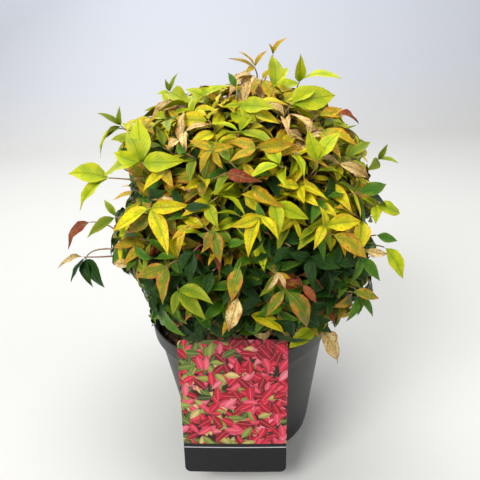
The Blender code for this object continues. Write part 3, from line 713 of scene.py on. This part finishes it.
def on_crown(pixel, share):
    """Where the line of sight through a pixel meets the crown's skin, or passes nearest to it."""
    ray, best, nearest = sight(pixel), None, 9.0
    for k in range(SIGHT_STEPS):
        point = Vector(CAMERA_PLACE) + ray * (SIGHT_NEAR + SIGHT_STEP * k)
        here = crown_share(point)
        if here < nearest:
            best, nearest = point, here
        if here <= share:
            return point
    return best


def at_plane(pixel, y):
    ray = sight(pixel)
    return Vector(CAMERA_PLACE) + ray * ((y - CAMERA_PLACE[1]) / ray.y)


def facing_plane(pixel, node):
    """The point of a line of sight that is as far ahead of the camera as the node is."""
    ray, ahead = sight(pixel), sight((PICTURE_MIDDLE, PICTURE_MIDDLE))
    return Vector(CAMERA_PLACE) + ray * ((node - Vector(CAMERA_PLACE)).dot(ahead) / ray.dot(ahead))


def shown_leaf(node, pixel, plane):
    flat = at_plane(pixel, plane) if plane else facing_plane(pixel, node)
    tip = flat if plane else on_crown(pixel, 1.0 + TIP_RISE)
    if (tip - node).length > TIP_STRETCH * (flat - node).length:
        tip = flat.lerp(tip, TIP_SHARE)
    along = (tip - node).normalized()
    normal = (UP if plane else crown_normal(node)) - sight(pixel) * FACING
    up = (normal - along * normal.dot(along)).normalized()
    tilt = Matrix.Rotation(shown_draw.uniform(-SHOWN_TILT, SHOWN_TILT), 3, along)
    return node, along, tilt @ up, (tip - node).length


def shown_spray(kind, node_pixel, tip_pixels, plane=None):
    """A spray's kind, node and leaves. One that hangs over the lip lies in an upright plane."""
    node = at_plane(node_pixel, plane) if plane else on_crown(node_pixel, 1.0)
    return kind, node, [shown_leaf(node, pixel, plane) for pixel in tip_pixels]


BACK_SPRIGS = (
    ("lime", (-0.052, 0.078, 0.300), 0.030),
    ("yellow", (0.062, 0.088, 0.284), 0.032),
    ("gold", (-0.094, 0.078, 0.222), 0.032),
    ("spring", (0.094, 0.080, 0.216), 0.032),
    ("lime", (0.004, 0.120, 0.240), 0.032),
    ("gold", (-0.030, 0.106, 0.274), 0.026),
    ("lime", (-0.084, 0.050, 0.284), 0.030),
    ("spring", (0.100, 0.056, 0.268), 0.031),
    ("bronze", (0.056, 0.112, 0.236), 0.026),
    ("yellow", (-0.060, 0.110, 0.216), 0.033),
    ("tan", (0.098, 0.086, 0.178), 0.027),
    ("mid", (-0.086, 0.084, 0.172), 0.030),
    ("deep", (0.030, 0.120, 0.182), 0.029),
    ("blush", (-0.024, 0.122, 0.188), 0.028),
)


def sprig(kind, end, length):
    """Three leaves that stand out from the crown at the end of a stalk."""
    end = Vector(end)
    heading = (end - CROWN_MIDDLE).normalized()
    normal = (crown_normal(end) + Vector((0.0, 0.0, 1.0))).normalized()
    up = (normal - heading * normal.dot(heading)).normalized()
    turns = [Matrix.Rotation(math.radians(angle), 3, up) for angle in TRIPLET]
    return kind, end, [(end, turn @ heading, up, length) for turn in turns]


shown_draw = random.Random(17)
SHOWN = [sprig(*row) for row in BACK_SPRIGS]
SHOWN += [shown_spray(kind, node, tips) for kind, node, *tips in SHOWN_SPRAYS]
SHOWN += [shown_spray(kind, node, [tip], plane) for kind, node, tip, plane in LIP_SPRAYS]
print("placed by hand:", len(SHOWN), "sprays,", sum(len(row[2]) for row in SHOWN), "leaves")
print("their lengths in mm:", sorted({round(leaf[3] * 1000) for row in SHOWN for leaf in row[2]}))

# %% [markdown]
# A leaf of the other sprays is first tested as four thin triangles. It has to stay under the crown's
# skin, off the canes, the pot and the label, and off the leaves before it. It also may not hide the card
# or a placed spray, stand outside the outline that the crown's body has in the picture, or cover the
# glimpse of soil at the left of the rim. A leaf that fails is tried again a little turned and shorter,
# and is left out after six tries.

# %% Tests that a leaf has to pass
LEAF_FACES = ((0, 3, 2), (1, 2, 3), (0, 2, 1), (0, 1, 3))
SKIN_REACH, SHADE_REACH = 1.02, 0.12
RIM_GAP, TOP_GAP, CANE_GAP = 0.003, 0.002, 0.0006
BODY_OUTLINE = (
    (366, 225), (384, 214), (382, 199), (370, 184), (368, 151), (352, 132), (338, 110), (316, 98),
    (291, 84), (265, 82), (235, 83), (210, 86), (184, 89), (162, 100), (143, 112), (128, 126),
    (118, 142), (114, 158), (128, 172), (132, 186), (128, 200), (118, 214), (112, 232), (111, 247),
    (109, 262), (126, 272), (137, 282), (148, 298), (152, 324), (158, 342), (192, 350), (256, 350),
    (304, 350), (330, 338), (344, 318), (364, 306), (372, 290), (368, 271), (380, 250),
)
SOIL_GLIMPSE = (157, 326, 181, 352)
LABEL_SPACE = (
    Vector((LABEL_SIDE - LABEL_WIDTH / 2 - 0.008, -POT_RIM_RADIUS - 0.012, 0.0)),
    Vector((LABEL_SIDE + LABEL_WIDTH / 2 + 0.008, -POT_RIM_RADIUS + 0.024, LABEL_TOP + 0.006)),
)


def leaf_points(base, along, face, length, start=0.0):
    across = along.cross(face).normalized() * (length * LEAF_WIDTH / 2)
    middle = base + along * (length * LEAF_WIDEST) + face * LEAF_THICK
    return [base + along * (length * start), base + along * length, middle - across, middle + across]


def clear_of_pot(point):
    if point.z < CROWN_FLOOR:
        return False
    if math.hypot(point.x, point.y) < POT_RIM_RADIUS + RIM_GAP and point.z < POT_HEIGHT + TOP_GAP:
        return False
    low, high = LABEL_SPACE
    return not all(a < b < c for a, b, c in zip(low, point, high))


def limb_space():
    """The canes, a little thickened, and the label's space."""
    taper = [CANE_FOOT + (CANE_TIP - CANE_FOOT) * k / 4 for k in range(1, 5)]
    radii = [radius + CANE_GAP for radius in (CANE_FOOT * CANE_FLARE, *taper)]
    points, faces = [], []
    for mass in MASSES:
        lay_in(points, faces, *tube(cane_curve(mass, 4), radii, 6))
    (left, front, foot), (right, back, top) = LABEL_SPACE
    corners = [Vector((x, y, z)) for z in (foot, top) for y in (front, back) for x in (left, right)]
    lay_in(points, faces, corners, BOX_FACES)
    return BVHTree.FromPolygons(points, faces)


def plainly_shown():
    """The placed leaves and the card's front, which nothing may hide from the camera."""
    half = LABEL_WIDTH / 2
    corners = ((-half, 0.0), (half, 0.0), (half, LABEL_TOP), (-half, LABEL_TOP))
    points = [Vector((LABEL_SIDE + x, LABEL_FRONT, z)) for x, z in corners]
    faces = [(0, 1, 2, 3)]
    for _, _, leaves in SHOWN[len(BACK_SPRIGS) :]:
        for leaf in leaves:
            lay_in(points, faces, leaf_points(*leaf), LEAF_FACES)
    return BVHTree.FromPolygons(points, faces)


LIMBS, PLAIN_SIGHT = limb_space(), plainly_shown()
INTO_PICTURE = SIGHT_TURN.transposed()
print("corners in the outline:", len(BODY_OUTLINE))


def inside(outline, x, y):
    """True if the pixel lies inside the closed outline: a level line to its left crosses it oddly."""
    crossings = 0
    for (x1, y1), (x2, y2) in zip(outline, outline[1:] + outline[:1]):
        if (y1 > y) != (y2 > y) and x > x1 + (x2 - x1) * (y - y1) / (y2 - y1):
            crossings += 1
    return crossings % 2 == 1


def in_the_way(point):
    """True if the point hides something that shows plainly, or stands out of the crown's body."""
    away = point - Vector(CAMERA_PLACE)
    if PLAIN_SIGHT.ray_cast(point, away.normalized(), SHADE_REACH)[0]:
        return True
    seen = INTO_PICTURE @ away
    x = PICTURE_MIDDLE - FOCAL_PIXELS * seen.x / seen.z
    y = PICTURE_MIDDLE + FOCAL_PIXELS * seen.y / seen.z
    if SOIL_GLIMPSE[0] < x < SOIL_GLIMPSE[2] and SOIL_GLIMPSE[1] < y < SOIL_GLIMPSE[3]:
        return True
    return not inside(BODY_OUTLINE, x, y)


# %% [markdown]
# Each spray's stalk starts on the stem of its mass and bends up to its end, where three leaflets fan
# out, with a pair just below them. The layers go from the skin inwards, and each is deeper than the one
# before and has fewer sprays, so dark gaps open between the outer leaves as they do on the real plant.
# At the back, where no picture tells, some young shoots that reach past the skin are grown first.

# %% Grow the sprays
LAYERS = ((520, 0.008), (460, 0.017), (400, 0.028), (280, 0.044), (140, 0.064))
SPRAY_LEAF, SPRAY_LEAF_LOW, SPRAY_LEAF_HIGH = 0.0275, 0.70, 1.22
DEPTH_JITTER, NEAR_LEAVES, STEM_SPARE = 0.006, 0.042, 0.004
TURN_SPREAD, TILT_SPREAD, SHRINK, PAIR_SIZE, FLOOR_GAP = 14, 50, 0.07, 0.9, 0.008
SHOOTS, SHOOT_DEPTH, SHOOT_REACH, SHOOT_TURN = 100, -0.006, 1.10, 33.0
HANG_HEIGHT, HANG_SWING, KNEE_SHARE = 0.235, 1.5, 0.35
grow_draw = random.Random(29)


def stem_of(mass):
    axis = (mass["middle"] - mass["joint"]).normalized()
    return mass["joint"] + axis * CLEARANCE, mass["middle"] + axis * STEM_SPARE, axis


def start_on_stem(mass, end):
    foot, top, axis = stem_of(mass)
    share = min(0.95, max(0.15, (end - foot).dot(axis) / (top - foot).length - 0.35))
    return foot.lerp(top, share)


def nearest_mass(point):
    return min(MASSES, key=lambda mass: (mass["middle"] - point).length)


def outward(point):
    level = Vector((point.x - CROWN_MIDDLE.x, point.y - CROWN_MIDDLE.y, 0.0))
    return level.normalized() if level.length > 1e-4 else Vector((1.0, 0.0, 0.0))


def stalk_bend(start, end, ahead):
    """The stalk's start, the knee that it bends towards, and its end."""
    return start, end - ahead * (KNEE_SHARE * (end - start).length), end


def leaf_group(node, heading, normal, angles, length, draw):
    group = []
    for angle in angles:
        tries = []
        for k in range(TRIES):
            spread = draw.uniform(-TURN_SPREAD, TURN_SPREAD) * (1 + k)
            turn = Matrix.Rotation(math.radians(angle + spread), 3, normal)
            along = (turn @ heading + normal * (LEAF_RISE + draw.uniform(-0.55, 0.40))).normalized()
            up = (normal - along * normal.dot(along)).normalized()
            tilt = Matrix.Rotation(math.radians(draw.uniform(-TILT_SPREAD, TILT_SPREAD)), 3, along)
            size = length * draw.uniform(0.86, 1.12) * (1 - SHRINK * k)
            tries.append((node, along, tilt @ up, size))
        group.append(tries)
    return group


def spray(start, end, length, draw):
    """The stalk and the leaflets of one spray that starts on a stem."""
    normal = crown_normal(end)
    loose = min(1.0, max(0.0, (end.z - HANG_HEIGHT) / (CROWN_UP / 2)))
    widest = HANG_SWING + (math.pi - HANG_SWING) * loose
    swing = Matrix.Rotation(draw.uniform(-1.0, 1.0) * widest, 3, normal)
    level = swing @ (Vector((0.0, 0.0, -1.0)) + outward(end) * 0.3)
    heading = (level - normal * level.dot(normal)).normalized()
    bend = stalk_bend(start, end, (heading * 0.6 + normal * 0.4).normalized())
    last = bent(*bend, 3)[-2] - end
    below = end + last * min(0.85, PAIR_BACK / last.length)
    group = leaf_group(end, heading, normal, TRIPLET, length, draw)
    group += leaf_group(below, heading, normal, PAIR, length * PAIR_SIZE, draw)
    return bend, group


def spray_ends(count, depth, first, draw):
    found = []
    for k in range(count):
        rise = math.degrees(math.asin(1 - 2 * (k + 0.5) / count))
        way = compass(k * GOLDEN_ANGLE + first, rise)
        reach = 1 / crown_share(CROWN_MIDDLE + way) - depth + draw.uniform(-1, 1) * DEPTH_JITTER
        end = CROWN_MIDDLE + way * reach
        if end.z > CROWN_FLOOR + FLOOR_GAP:
            found.append(end)
    return found


TAKEN, SPOTS = [], np.zeros((0, 3))


def leaf_middle(leaf):
    return leaf[0] + leaf[1] * leaf[3] / 2


def keep_leaf(leaf, free):
    global SPOTS
    TAKEN.append(free)
    SPOTS = np.vstack([SPOTS, tuple(leaf_middle(leaf))])


def crowded(leaf, free):
    """True if the leaf crosses one of those near it."""
    near = np.nonzero(((SPOTS - np.array(leaf_middle(leaf))) ** 2).sum(1) < NEAR_LEAVES**2)[0]
    return any(free.overlap(TAKEN[k]) for k in near)


def first_fit(tries, reach):
    for leaf in tries:
        corners = leaf_points(*leaf)
        if crown_share(corners[1]) > reach or not all(clear_of_pot(p) for p in corners):
            continue
        if any(in_the_way(p) for p in corners[1:]):
            continue
        free = BVHTree.FromPolygons(leaf_points(*leaf, LEAF_FREE), LEAF_FACES)
        if not free.overlap(LIMBS) and not crowded(leaf, free):
            keep_leaf(leaf, free)
            return leaf
    return None


def fitted(group, reach):
    return [leaf for leaf in (first_fit(tries, reach) for tries in group) if leaf]


def grow_spray(end, reach, draw):
    """Adds a spray that ends at a point, if it isn't in the way and keeps a leaflet at its end."""
    length = SPRAY_LEAF * draw.uniform(SPRAY_LEAF_LOW, SPRAY_LEAF_HIGH)
    bend, group = spray(start_on_stem(nearest_mass(end), end), end, length, draw)
    if in_the_way(end):
        return
    kept = fitted(group[: len(TRIPLET)], reach)
    if kept:
        kept += fitted(group[len(TRIPLET) :], reach)
        SPRAYS.append((bend, kept, None))


SPRAYS = []
for kind, node, leaves in SHOWN:
    for leaf in leaves:
        keep_leaf(leaf, BVHTree.FromPolygons(leaf_points(*leaf, LEAF_FREE), LEAF_FACES))
    start = start_on_stem(nearest_mass(node), node)
    ahead = (sum((leaf[1] for leaf in leaves), Vector()) + crown_normal(node)).normalized()
    SPRAYS.append((stalk_bend(start, node, ahead), leaves, kind))
for end in spray_ends(SHOOTS, SHOOT_DEPTH, SHOOT_TURN, grow_draw):
    if end.y > 0.0:
        grow_spray(end, SHOOT_REACH, grow_draw)
for number, (count, depth) in enumerate(LAYERS):
    for end in spray_ends(count, depth, 71.0 * number, grow_draw):
        grow_spray(end, SKIN_REACH, grow_draw)
print("sprays:", len(SPRAYS), "leaves:", len(TAKEN))

# %% [markdown]
# Leaf colour follows place and age. New leaves on top are lime to yellow. Below them are golden ones,
# some scorched to tan, and the old shaded leaves near the pot are deep green, a few of them flushed
# orange and red. A spray that isn't listed gets its kind by lot, from the shares for its height
# and depth. Deep in the crown the shares are mostly deep green. This is partly the colour that shaded
# leaves keep, and partly painted shade that darkens the gaps between the outer leaves.

# %% Kinds of leaf, dealt out by spray
PLAIN_KINDS = ("lime", "yellow", "gold", "spring", "mid", "deep")
KINDS = (*PLAIN_KINDS, "blush", "bronze", "tan")
SHARES_HIGH = (0.17, 0.26, 0.26, 0.12, 0.03, 0.01, 0.04, 0.02, 0.09)
SHARES_MIDDLE = (0.13, 0.31, 0.20, 0.14, 0.08, 0.04, 0.05, 0.005, 0.045)
SHARES_LOW = (0.00, 0.00, 0.01, 0.04, 0.24, 0.60, 0.07, 0.02, 0.02)
# Shares for sprays deep inside the crown: mostly deep green, partly painted shade for the dark gaps between
# the outer leaves.
SHARES_INNER_PAINTED_SHADE = (0.00, 0.00, 0.02, 0.05, 0.25, 0.66, 0.01, 0.01, 0.00)
HEIGHT_LOW, HEIGHT_MIDDLE, HEIGHT_HIGH = 0.228, 0.262, 0.310
INNER_START, INNER_BAND, KIN_CHANCE = 0.90, 0.15, 0.22
kind_draw = random.Random(5)


def blend_shares(one, other, share):
    return [a + (b - a) * share for a, b in zip(one, other)]


def kind_of(end, draw):
    if end.z < HEIGHT_MIDDLE:
        share = min(1.0, max(0.0, (end.z - HEIGHT_LOW) / (HEIGHT_MIDDLE - HEIGHT_LOW)))
        shares = blend_shares(SHARES_LOW, SHARES_MIDDLE, share)
    else:
        share = min(1.0, (end.z - HEIGHT_MIDDLE) / (HEIGHT_HIGH - HEIGHT_MIDDLE))
        shares = blend_shares(SHARES_MIDDLE, SHARES_HIGH, share)
    # Deeper sprays lean to the inner shares, whose dark green is partly painted shade.
    depth = min(1.0, max(0.0, (INNER_START - crown_share(end)) / INNER_BAND))
    shares = blend_shares(shares, SHARES_INNER_PAINTED_SHADE, depth)
    return draw.choices(KINDS, shares)[0]


def kin(kind, draw):
    """Most leaflets of a spray are alike, and a few of the plain ones are a neighbouring kind."""
    if draw.random() > KIN_CHANCE or kind not in PLAIN_KINDS:
        return kind
    place = PLAIN_KINDS.index(kind) + draw.choice((-1, 1))
    return PLAIN_KINDS[min(len(PLAIN_KINDS) - 1, max(0, place))]


# %% [markdown]
# Every leaflet is one small mesh of 36 faces with its own outline: a short stalk, a broad lower third
# and a drawn-out tip. It is folded along its midrib, arched, twisted and waved by its own draws. Leaves
# of one kind are one piece, and the many deep green ones are two. Their map has 16 tiles, and each leaf
# lies in one, so the material can draw veins, margins and blotches in the leaf's own length and width.

# %% Leaf meshes
STATIONS = np.array([0.0, 0.05, 0.13, 0.25, 0.39, 0.54, 0.69, 0.83, 0.93, 1.0])
HALF_WIDTHS = np.array([0.035, 0.04, 0.46, 0.86, 1.0, 0.90, 0.66, 0.37, 0.15, 0.0])
ACROSS = np.array([-1.0, -0.5, 0.0, 0.5, 1.0])
TILES, TILE_EDGE = 4, 0.03
ROWS, COLUMNS = len(STATIONS) - 1, len(ACROSS)
LEAF_SHEET = [
    (COLUMNS * r + c, COLUMNS * r + c + 1, COLUMNS * (r + 1) + c + 1, COLUMNS * (r + 1) + c)
    for r in range(ROWS - 1)
    for c in range(COLUMNS - 1)
]
LAST_ROW, TIP_POINT = COLUMNS * (ROWS - 1), COLUMNS * ROWS
LEAF_SHEET += [(LAST_ROW + c, LAST_ROW + c + 1, TIP_POINT) for c in range(COLUMNS - 1)]
LEAF_TRIANGLES = sum(len(face) - 2 for face in LEAF_SHEET)
NARROW_WIDTH = 0.38
REAL_WIDTH = {"lime": 0.47, "yellow": 0.41, "tan": 0.42, "mid": 0.42, "deep": 0.42, "blush": 0.42}


def leaf_sheet(leaf, kind, draw):
    """Points of one leaf, and their places in its tile, as arrays."""
    base, along, up, length = leaf
    width = length * REAL_WIDTH.get(kind, NARROW_WIDTH) * draw.uniform(0.88, 1.12)
    dry = kind in ("tan", "bronze")
    bow = draw.uniform(0.03, 0.15) * (1.6 if dry else 1.0)
    crease = draw.uniform(0.15, 0.60) * (1.4 if dry else 1.0)
    cup = draw.uniform(-0.02, 0.16)
    twist = draw.uniform(-0.5, 0.5) * (1.8 if dry else 1.0)
    sweep = draw.uniform(-0.10, 0.10)
    wave, phase = draw.uniform(0.01, 0.05) * (2.0 if dry else 1.0), draw.uniform(0, math.tau)
    u = np.append(np.repeat(STATIONS[:-1], COLUMNS), 1.0)
    t = np.append(np.tile(ACROSS, ROWS), 0.0)
    half = np.append(np.repeat(HALF_WIDTHS[:-1], COLUMNS), 0.0)
    y = t * half * width / 2 * math.cos(crease)
    z = np.abs(t) * half * width / 2 * math.sin(crease) - cup * width * (t * half) ** 2
    z += wave * width * np.sin(math.tau * 2.2 * u + phase) * t**2
    turn = twist * (u - 0.3)
    y, z = y * np.cos(turn) - z * np.sin(turn), y * np.sin(turn) + z * np.cos(turn)
    y += sweep * length * u * (1 - u) * 2
    z += bow * length * (np.sin(math.pi * u**0.8) - 0.6 * u**3)
    frame_of = np.array([along, up.cross(along), up])
    points = np.array(base) + np.stack([u * length, y, z], 1) @ frame_of
    tile = draw.randrange(TILES * TILES)
    corner = np.array([tile % TILES, tile // TILES])
    inner = 1 - 2 * TILE_EDGE
    places = np.stack([TILE_EDGE + inner * u, 0.5 + inner / 2 * t * half], 1)
    return points, (corner + places) / TILES


def leaf_piece(name, kind, leaves, finish, draw):
    points, places, faces = [], [], []
    for leaf in leaves:
        grown, spots_in_tile = leaf_sheet(leaf, kind, draw)
        points.append(grown)
        places.append(spots_in_tile)
    for k in range(len(leaves)):
        faces += [tuple(k * (TIP_POINT + 1) + n for n in face) for face in LEAF_SHEET]
    piece = joined(name, np.concatenate(points), faces, finish, smooth=True)
    layer = piece.data.uv_layers.new(name=SURFACE_MAP)
    index = np.zeros(len(piece.data.loops), np.int32)
    piece.data.loops.foreach_get("vertex_index", index)
    layer.data.foreach_set("uv", np.concatenate(places)[index].ravel())
    return piece


# %% [markdown]
# A leaf's skin is waxy, so it has a soft shine with a middling roughness. All kinds share one recipe.
# In the leaf's own map it mixes two body colours by a cloudy noise, makes the heart greener, tints the
# margin and the tip, adds scorched blotches and specks, draws the side veins, and lays a paler midrib
# over them. The bump has a groove at each vein and puckers between. Each of the 16 tiles is a little
# lighter or darker than the next.


# %% Leaf material
def leaf_material(name, colours, margin_share, blotch_share, rough=0.42):
    body, second, heart, margin, blotch, rib = [linear(code) for code in colours.split()]
    made, tree, shader = new_material(name, rough, 0.18)
    uv = add(tree, "UVMap", {"uv_map": SURFACE_MAP})
    grid = add(tree, "VectorMath", "SCALE", {0: uv, "Scale": float(TILES)})
    inner = add(tree, "VectorMath", "FRACTION", (grid,))
    tile = add(tree, "VectorMath", "FLOOR", (grid,))
    lot = add(tree, "TexWhiteNoise", FLAT_NOISE, {"Vector": tile})
    part = add(tree, "SeparateXYZ", None, (inner,))
    centred = add(tree, "Math", "SUBTRACT", (part.outputs[1], 0.5))
    side = add(tree, "Math", "ABSOLUTE", (centred,))
    flat = add(tree, "Mapping", None, {"Vector": grid, "Scale": (1.0, 0.42, 1.0)})
    cloud = add(tree, "TexNoise", FLAT_NOISE, {"Vector": flat, "Scale": 4.0, "Detail": 3.0})
    fine = add(tree, "TexNoise", FLAT_NOISE, {"Vector": flat, "Scale": 17.0, "Detail": 3.0})
    mottle = add(tree, "MapRange", None, {"Value": cloud, "From Min": 0.40, "From Max": 0.60})
    skin = add(tree, "Mix", COLOURS, {0: mottle, 6: body, 7: second})
    core = add(tree, "MapRange", None, {"Value": side, "From Max": 0.30, "To Min": 2.4, "To Max": 0.0})
    lower = {"Value": part, "From Min": 0.1, "From Max": 0.9, "To Min": 1.0, "To Max": 0.15}
    near = add(tree, "Math", "MULTIPLY", (core, add(tree, "MapRange", None, lower)))
    green = add(tree, "Math", CLAMPED_PRODUCT, (near, cloud))
    hearted = add(tree, "Mix", COLOURS, {0: green, 6: skin.outputs[2], 7: heart})
    edge = add(tree, "MapRange", None, {"Value": side, "From Min": 0.22, "From Max": 0.47})
    tip = add(tree, "MapRange", None, {"Value": part, "From Min": 0.62, "From Max": 0.97})
    rimmed = add(tree, "Math", "MAXIMUM", (edge, tip))
    patchy = add(tree, "Math", "MULTIPLY", (rimmed, cloud))
    tinted = add(tree, "Math", CLAMPED_PRODUCT, (patchy, 2.0 * margin_share))
    edged = add(tree, "Mix", COLOURS, {0: tinted, 6: hearted.outputs[2], 7: margin})
    more = 0.25 * blotch_share
    spots = {"Value": fine, "From Min": 0.70 - more, "From Max": 0.78 - more, "To Max": 0.85}
    spots = add(tree, "MapRange", None, spots)
    grains = add(tree, "TexVoronoi", FLAT_CELLS, {"Vector": flat, "Scale": 26.0})
    specks = {"Value": grains, "From Min": 0.10, "From Max": 0.28, "To Min": blotch_share, "To Max": 0.0}
    specks = add(tree, "MapRange", None, specks)
    marks = add(tree, "Math", "MAXIMUM", (spots, specks))
    scorched = add(tree, "Mix", COLOURS, {0: marks, 6: edged.outputs[2], 7: blotch})
    slant = add(tree, "Math", "MULTIPLY_ADD", (side, -0.75, part))
    repeat = add(tree, "Math", "MULTIPLY", (slant, 9.0))
    swing = add(tree, "Math", "PINGPONG", (repeat, 0.5))
    vein = add(tree, "MapRange", None, {"Value": swing, "From Max": 0.09, "To Min": 0.32, "To Max": 0.0})
    veined = add(tree, "Mix", COLOURS, {0: vein, 6: scorched.outputs[2], 7: rib})
    midrib = {"Value": side, "From Min": 0.010, "From Max": 0.034, "To Min": 0.75, "To Max": 0.0}
    midrib = add(tree, "MapRange", None, midrib)
    ribbed = add(tree, "Mix", COLOURS, {0: midrib, 6: veined.outputs[2], 7: rib})
    light = add(tree, "MapRange", None, {"Value": lot, "To Min": 0.74, "To Max": 1.12})
    varied = add(tree, "HueSaturation", None, {"Color": ribbed.outputs[2], "Value": light})
    groove = add(tree, "Math", "ADD", (midrib, vein))
    puckers = add(tree, "Math", "MULTIPLY_ADD", (fine, 0.6, cloud))
    height = add(tree, "Math", "SUBTRACT", (puckers, groove))
    bump = add(tree, "Bump", None, {"Height": height, "Strength": 0.7, "Distance": 0.0011})
    feed(tree, shader, {"Base Color": varied, "Normal": bump})
    return made


LEAF_COLOURS = {
    "lime": "#B8BE0C #9CAC0E #8CA40E #CEC414 #A8842A #98A016",
    "yellow": "#E4D60C #CCC410 #A2AC12 #D8A416 #A86E1E #AAA41C",
    "gold": "#D6B214 #ACA012 #8A9214 #CA7C1A #94561F #B8A232",
    "spring": "#728810 #8E9814 #5A7A12 #A89E1C #8E742C #8E9A32",
    "mid": "#3D6A0B #587A0F #30600C #6A781A #6E6428 #5E842C",
    "deep": "#173607 #23470A #163408 #324E0D #3E481C #3C6420",
    "blush": "#5C8012 #B4A01C #3C6C12 #B4642A #9C4C22 #A6A040",
    "bronze": "#8E3A20 #AA5E2C #7C4A20 #742216 #5C2014 #C08054",
    "tan": "#F0DC9C #DDBA70 #D2B468 #B0682C #8A562E #AE8850",
}
LEAF_TRAITS = {
    "lime": ("lime_leaf_skin", 0.5, 0.0),
    "yellow": ("yellow_leaf_skin", 0.8, 0.3),
    "gold": ("golden_leaf_skin", 1.0, 0.42),
    "spring": ("spring_green_leaf_skin", 0.6, 0.08),
    "mid": ("mid_green_leaf_skin", 0.5, 0.0),
    "deep": ("deep_green_leaf_skin", 0.5, 0.0),
    "blush": ("flushed_leaf_skin", 1.05, 0.45),
    "bronze": ("bronze_leaf_skin", 0.8, 0.5),
    "tan": ("scorched_leaf_skin", 0.8, 0.5, 0.55),
}
LEAF_FINISHES = {}
for kind, (name, *shares) in LEAF_TRAITS.items():
    LEAF_FINISHES[kind] = leaf_material(name, LEAF_COLOURS[kind], *shares)
print("leaf materials:", len(LEAF_FINISHES))

# %% Deal out the leaves and make them
MOST_IN_A_PIECE = 2500
by_kind = {kind: [] for kind in KINDS}
for bend, kept, shown_kind in SPRAYS:
    kind = shown_kind or kind_of(bend[2], kind_draw)
    for leaf in kept:
        by_kind[kind if shown_kind else kin(kind, kind_draw)].append(leaf)
for kind, leaves in by_kind.items():
    sheet_draw = random.Random(f"leaves {kind}")
    for first in range(0, len(leaves), MOST_IN_A_PIECE):
        some = leaves[first : first + MOST_IN_A_PIECE]
        name = f"leaves_{kind}" if first == 0 else f"leaves_{kind}_inner"
        piece = leaf_piece(name, kind, some, LEAF_FINISHES[kind], sheet_draw)
        print(name, "leaves:", len(some), "triangles:", len(some) * LEAF_TRIANGLES)

# %% [markdown]
# Leaf stalks are thin wires, green in places and reddish brown in others, which a soft noise deals out.
# Each leads on from its stem to its spray. They are tubes with five sides, joined as one piece.

# %% Leaf stalks
STALK_THICK, STALK_TAPER, STALK_STEPS, STALK_SIDES = 0.00095, 0.00045, 7, 5
radii = [STALK_THICK - STALK_TAPER * k / STALK_STEPS for k in range(STALK_STEPS + 1)]
points, faces = [], []
for bend, _, _ in SPRAYS:
    lay_in(points, faces, *tube(bent(*bend, STALK_STEPS), radii, STALK_SIDES))

STALK_BROWNS = ((0.32, "#6E7A34"), (0.46, "#8A6A3E"), (0.58, "#7A4636"), (0.70, "#A38F78"))
stalk_skin, tree, shader = new_material("leaf_stalk_skin", 0.5, 0.4)
place = add(tree, "TexCoord").outputs["Object"]
age = add(tree, "TexNoise", None, {"Vector": place, "Scale": 38.0, "Detail": 3.0})
tone = add(tree, "ValToRGB", {"stops": STALK_BROWNS}, {"Fac": age})
feed(tree, shader, {"Base Color": tone})
stalks = joined("leaf_stalks", points, faces, stalk_skin, smooth=True)
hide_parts(*[node for node in NODES if node.startswith("foliage_")])
print("stalks:", len(SPRAYS))

# %% [markdown]
# The canes are ringed like thin bamboo: every 15 mm or so an old leaf's sheath leaves a swollen,
# ring. Each cane goes on as the stem of its mass, so both are swept as one tube whose radius
# swells at the rings.

# %% Canes
CANE_SIDES, CANE_STEPS, STEM_STEPS, STEM_TIP = 10, 24, 10, 0.0011
RING_SPACING, RING_SWELL, RING_SHARP, FLARE_HEIGHT, CANE_SLACK = 0.015, 0.16, 0.75, 0.008, 0.94
BARK_BROWNS = ((0.30, "#3A2A1C"), (0.50, "#6E5438"), (0.68, "#A08A68"))
points, faces = [], []
for mass in MASSES:
    foot, top, _ = stem_of(mass)
    path = cane_curve(mass, CANE_STEPS) + [foot.lerp(top, k / STEM_STEPS) for k in range(1, STEM_STEPS + 1)]
    walked, radii = 0.0, []
    for k, point in enumerate(path):
        walked += (point - path[k - 1]).length if k else 0.0
        radius = CANE_FOOT + (CANE_TIP - CANE_FOOT) * k / CANE_STEPS
        if k > CANE_STEPS:
            radius = CANE_TIP + (STEM_TIP - CANE_TIP) * (k - CANE_STEPS) / STEM_STEPS
        radius *= 1 + (CANE_FLARE - 1) * max(0.0, 1 - walked / FLARE_HEIGHT)
        on_ring = math.cos(math.tau * walked / RING_SPACING) > RING_SHARP
        radii.append(radius * (1.0 + RING_SWELL * on_ring) * CANE_SLACK)
    lay_in(points, faces, *tube(path, radii, CANE_SIDES))

bark, tree, shader = new_material("ringed_cane_bark", 0.7, 0.3)
place = add(tree, "TexCoord").outputs["Object"]
lengthwise = add(tree, "Mapping", None, {"Vector": place, "Scale": (900.0, 900.0, 90.0)})
fibre = add(tree, "TexNoise", None, {"Vector": lengthwise, "Scale": 1.0, "Detail": 4.0})
tone = add(tree, "ValToRGB", {"stops": BARK_BROWNS}, {"Fac": fibre})
bump = add(tree, "Bump", None, {"Height": fibre, "Strength": 0.6, "Distance": 0.0006})
feed(tree, shader, {"Base Color": tone, "Normal": bump})
canes = joined("canes", points, faces, bark, smooth=True)
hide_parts(*[node for node in NODES if node.startswith("cane_")])
print("canes:", len(MASSES))
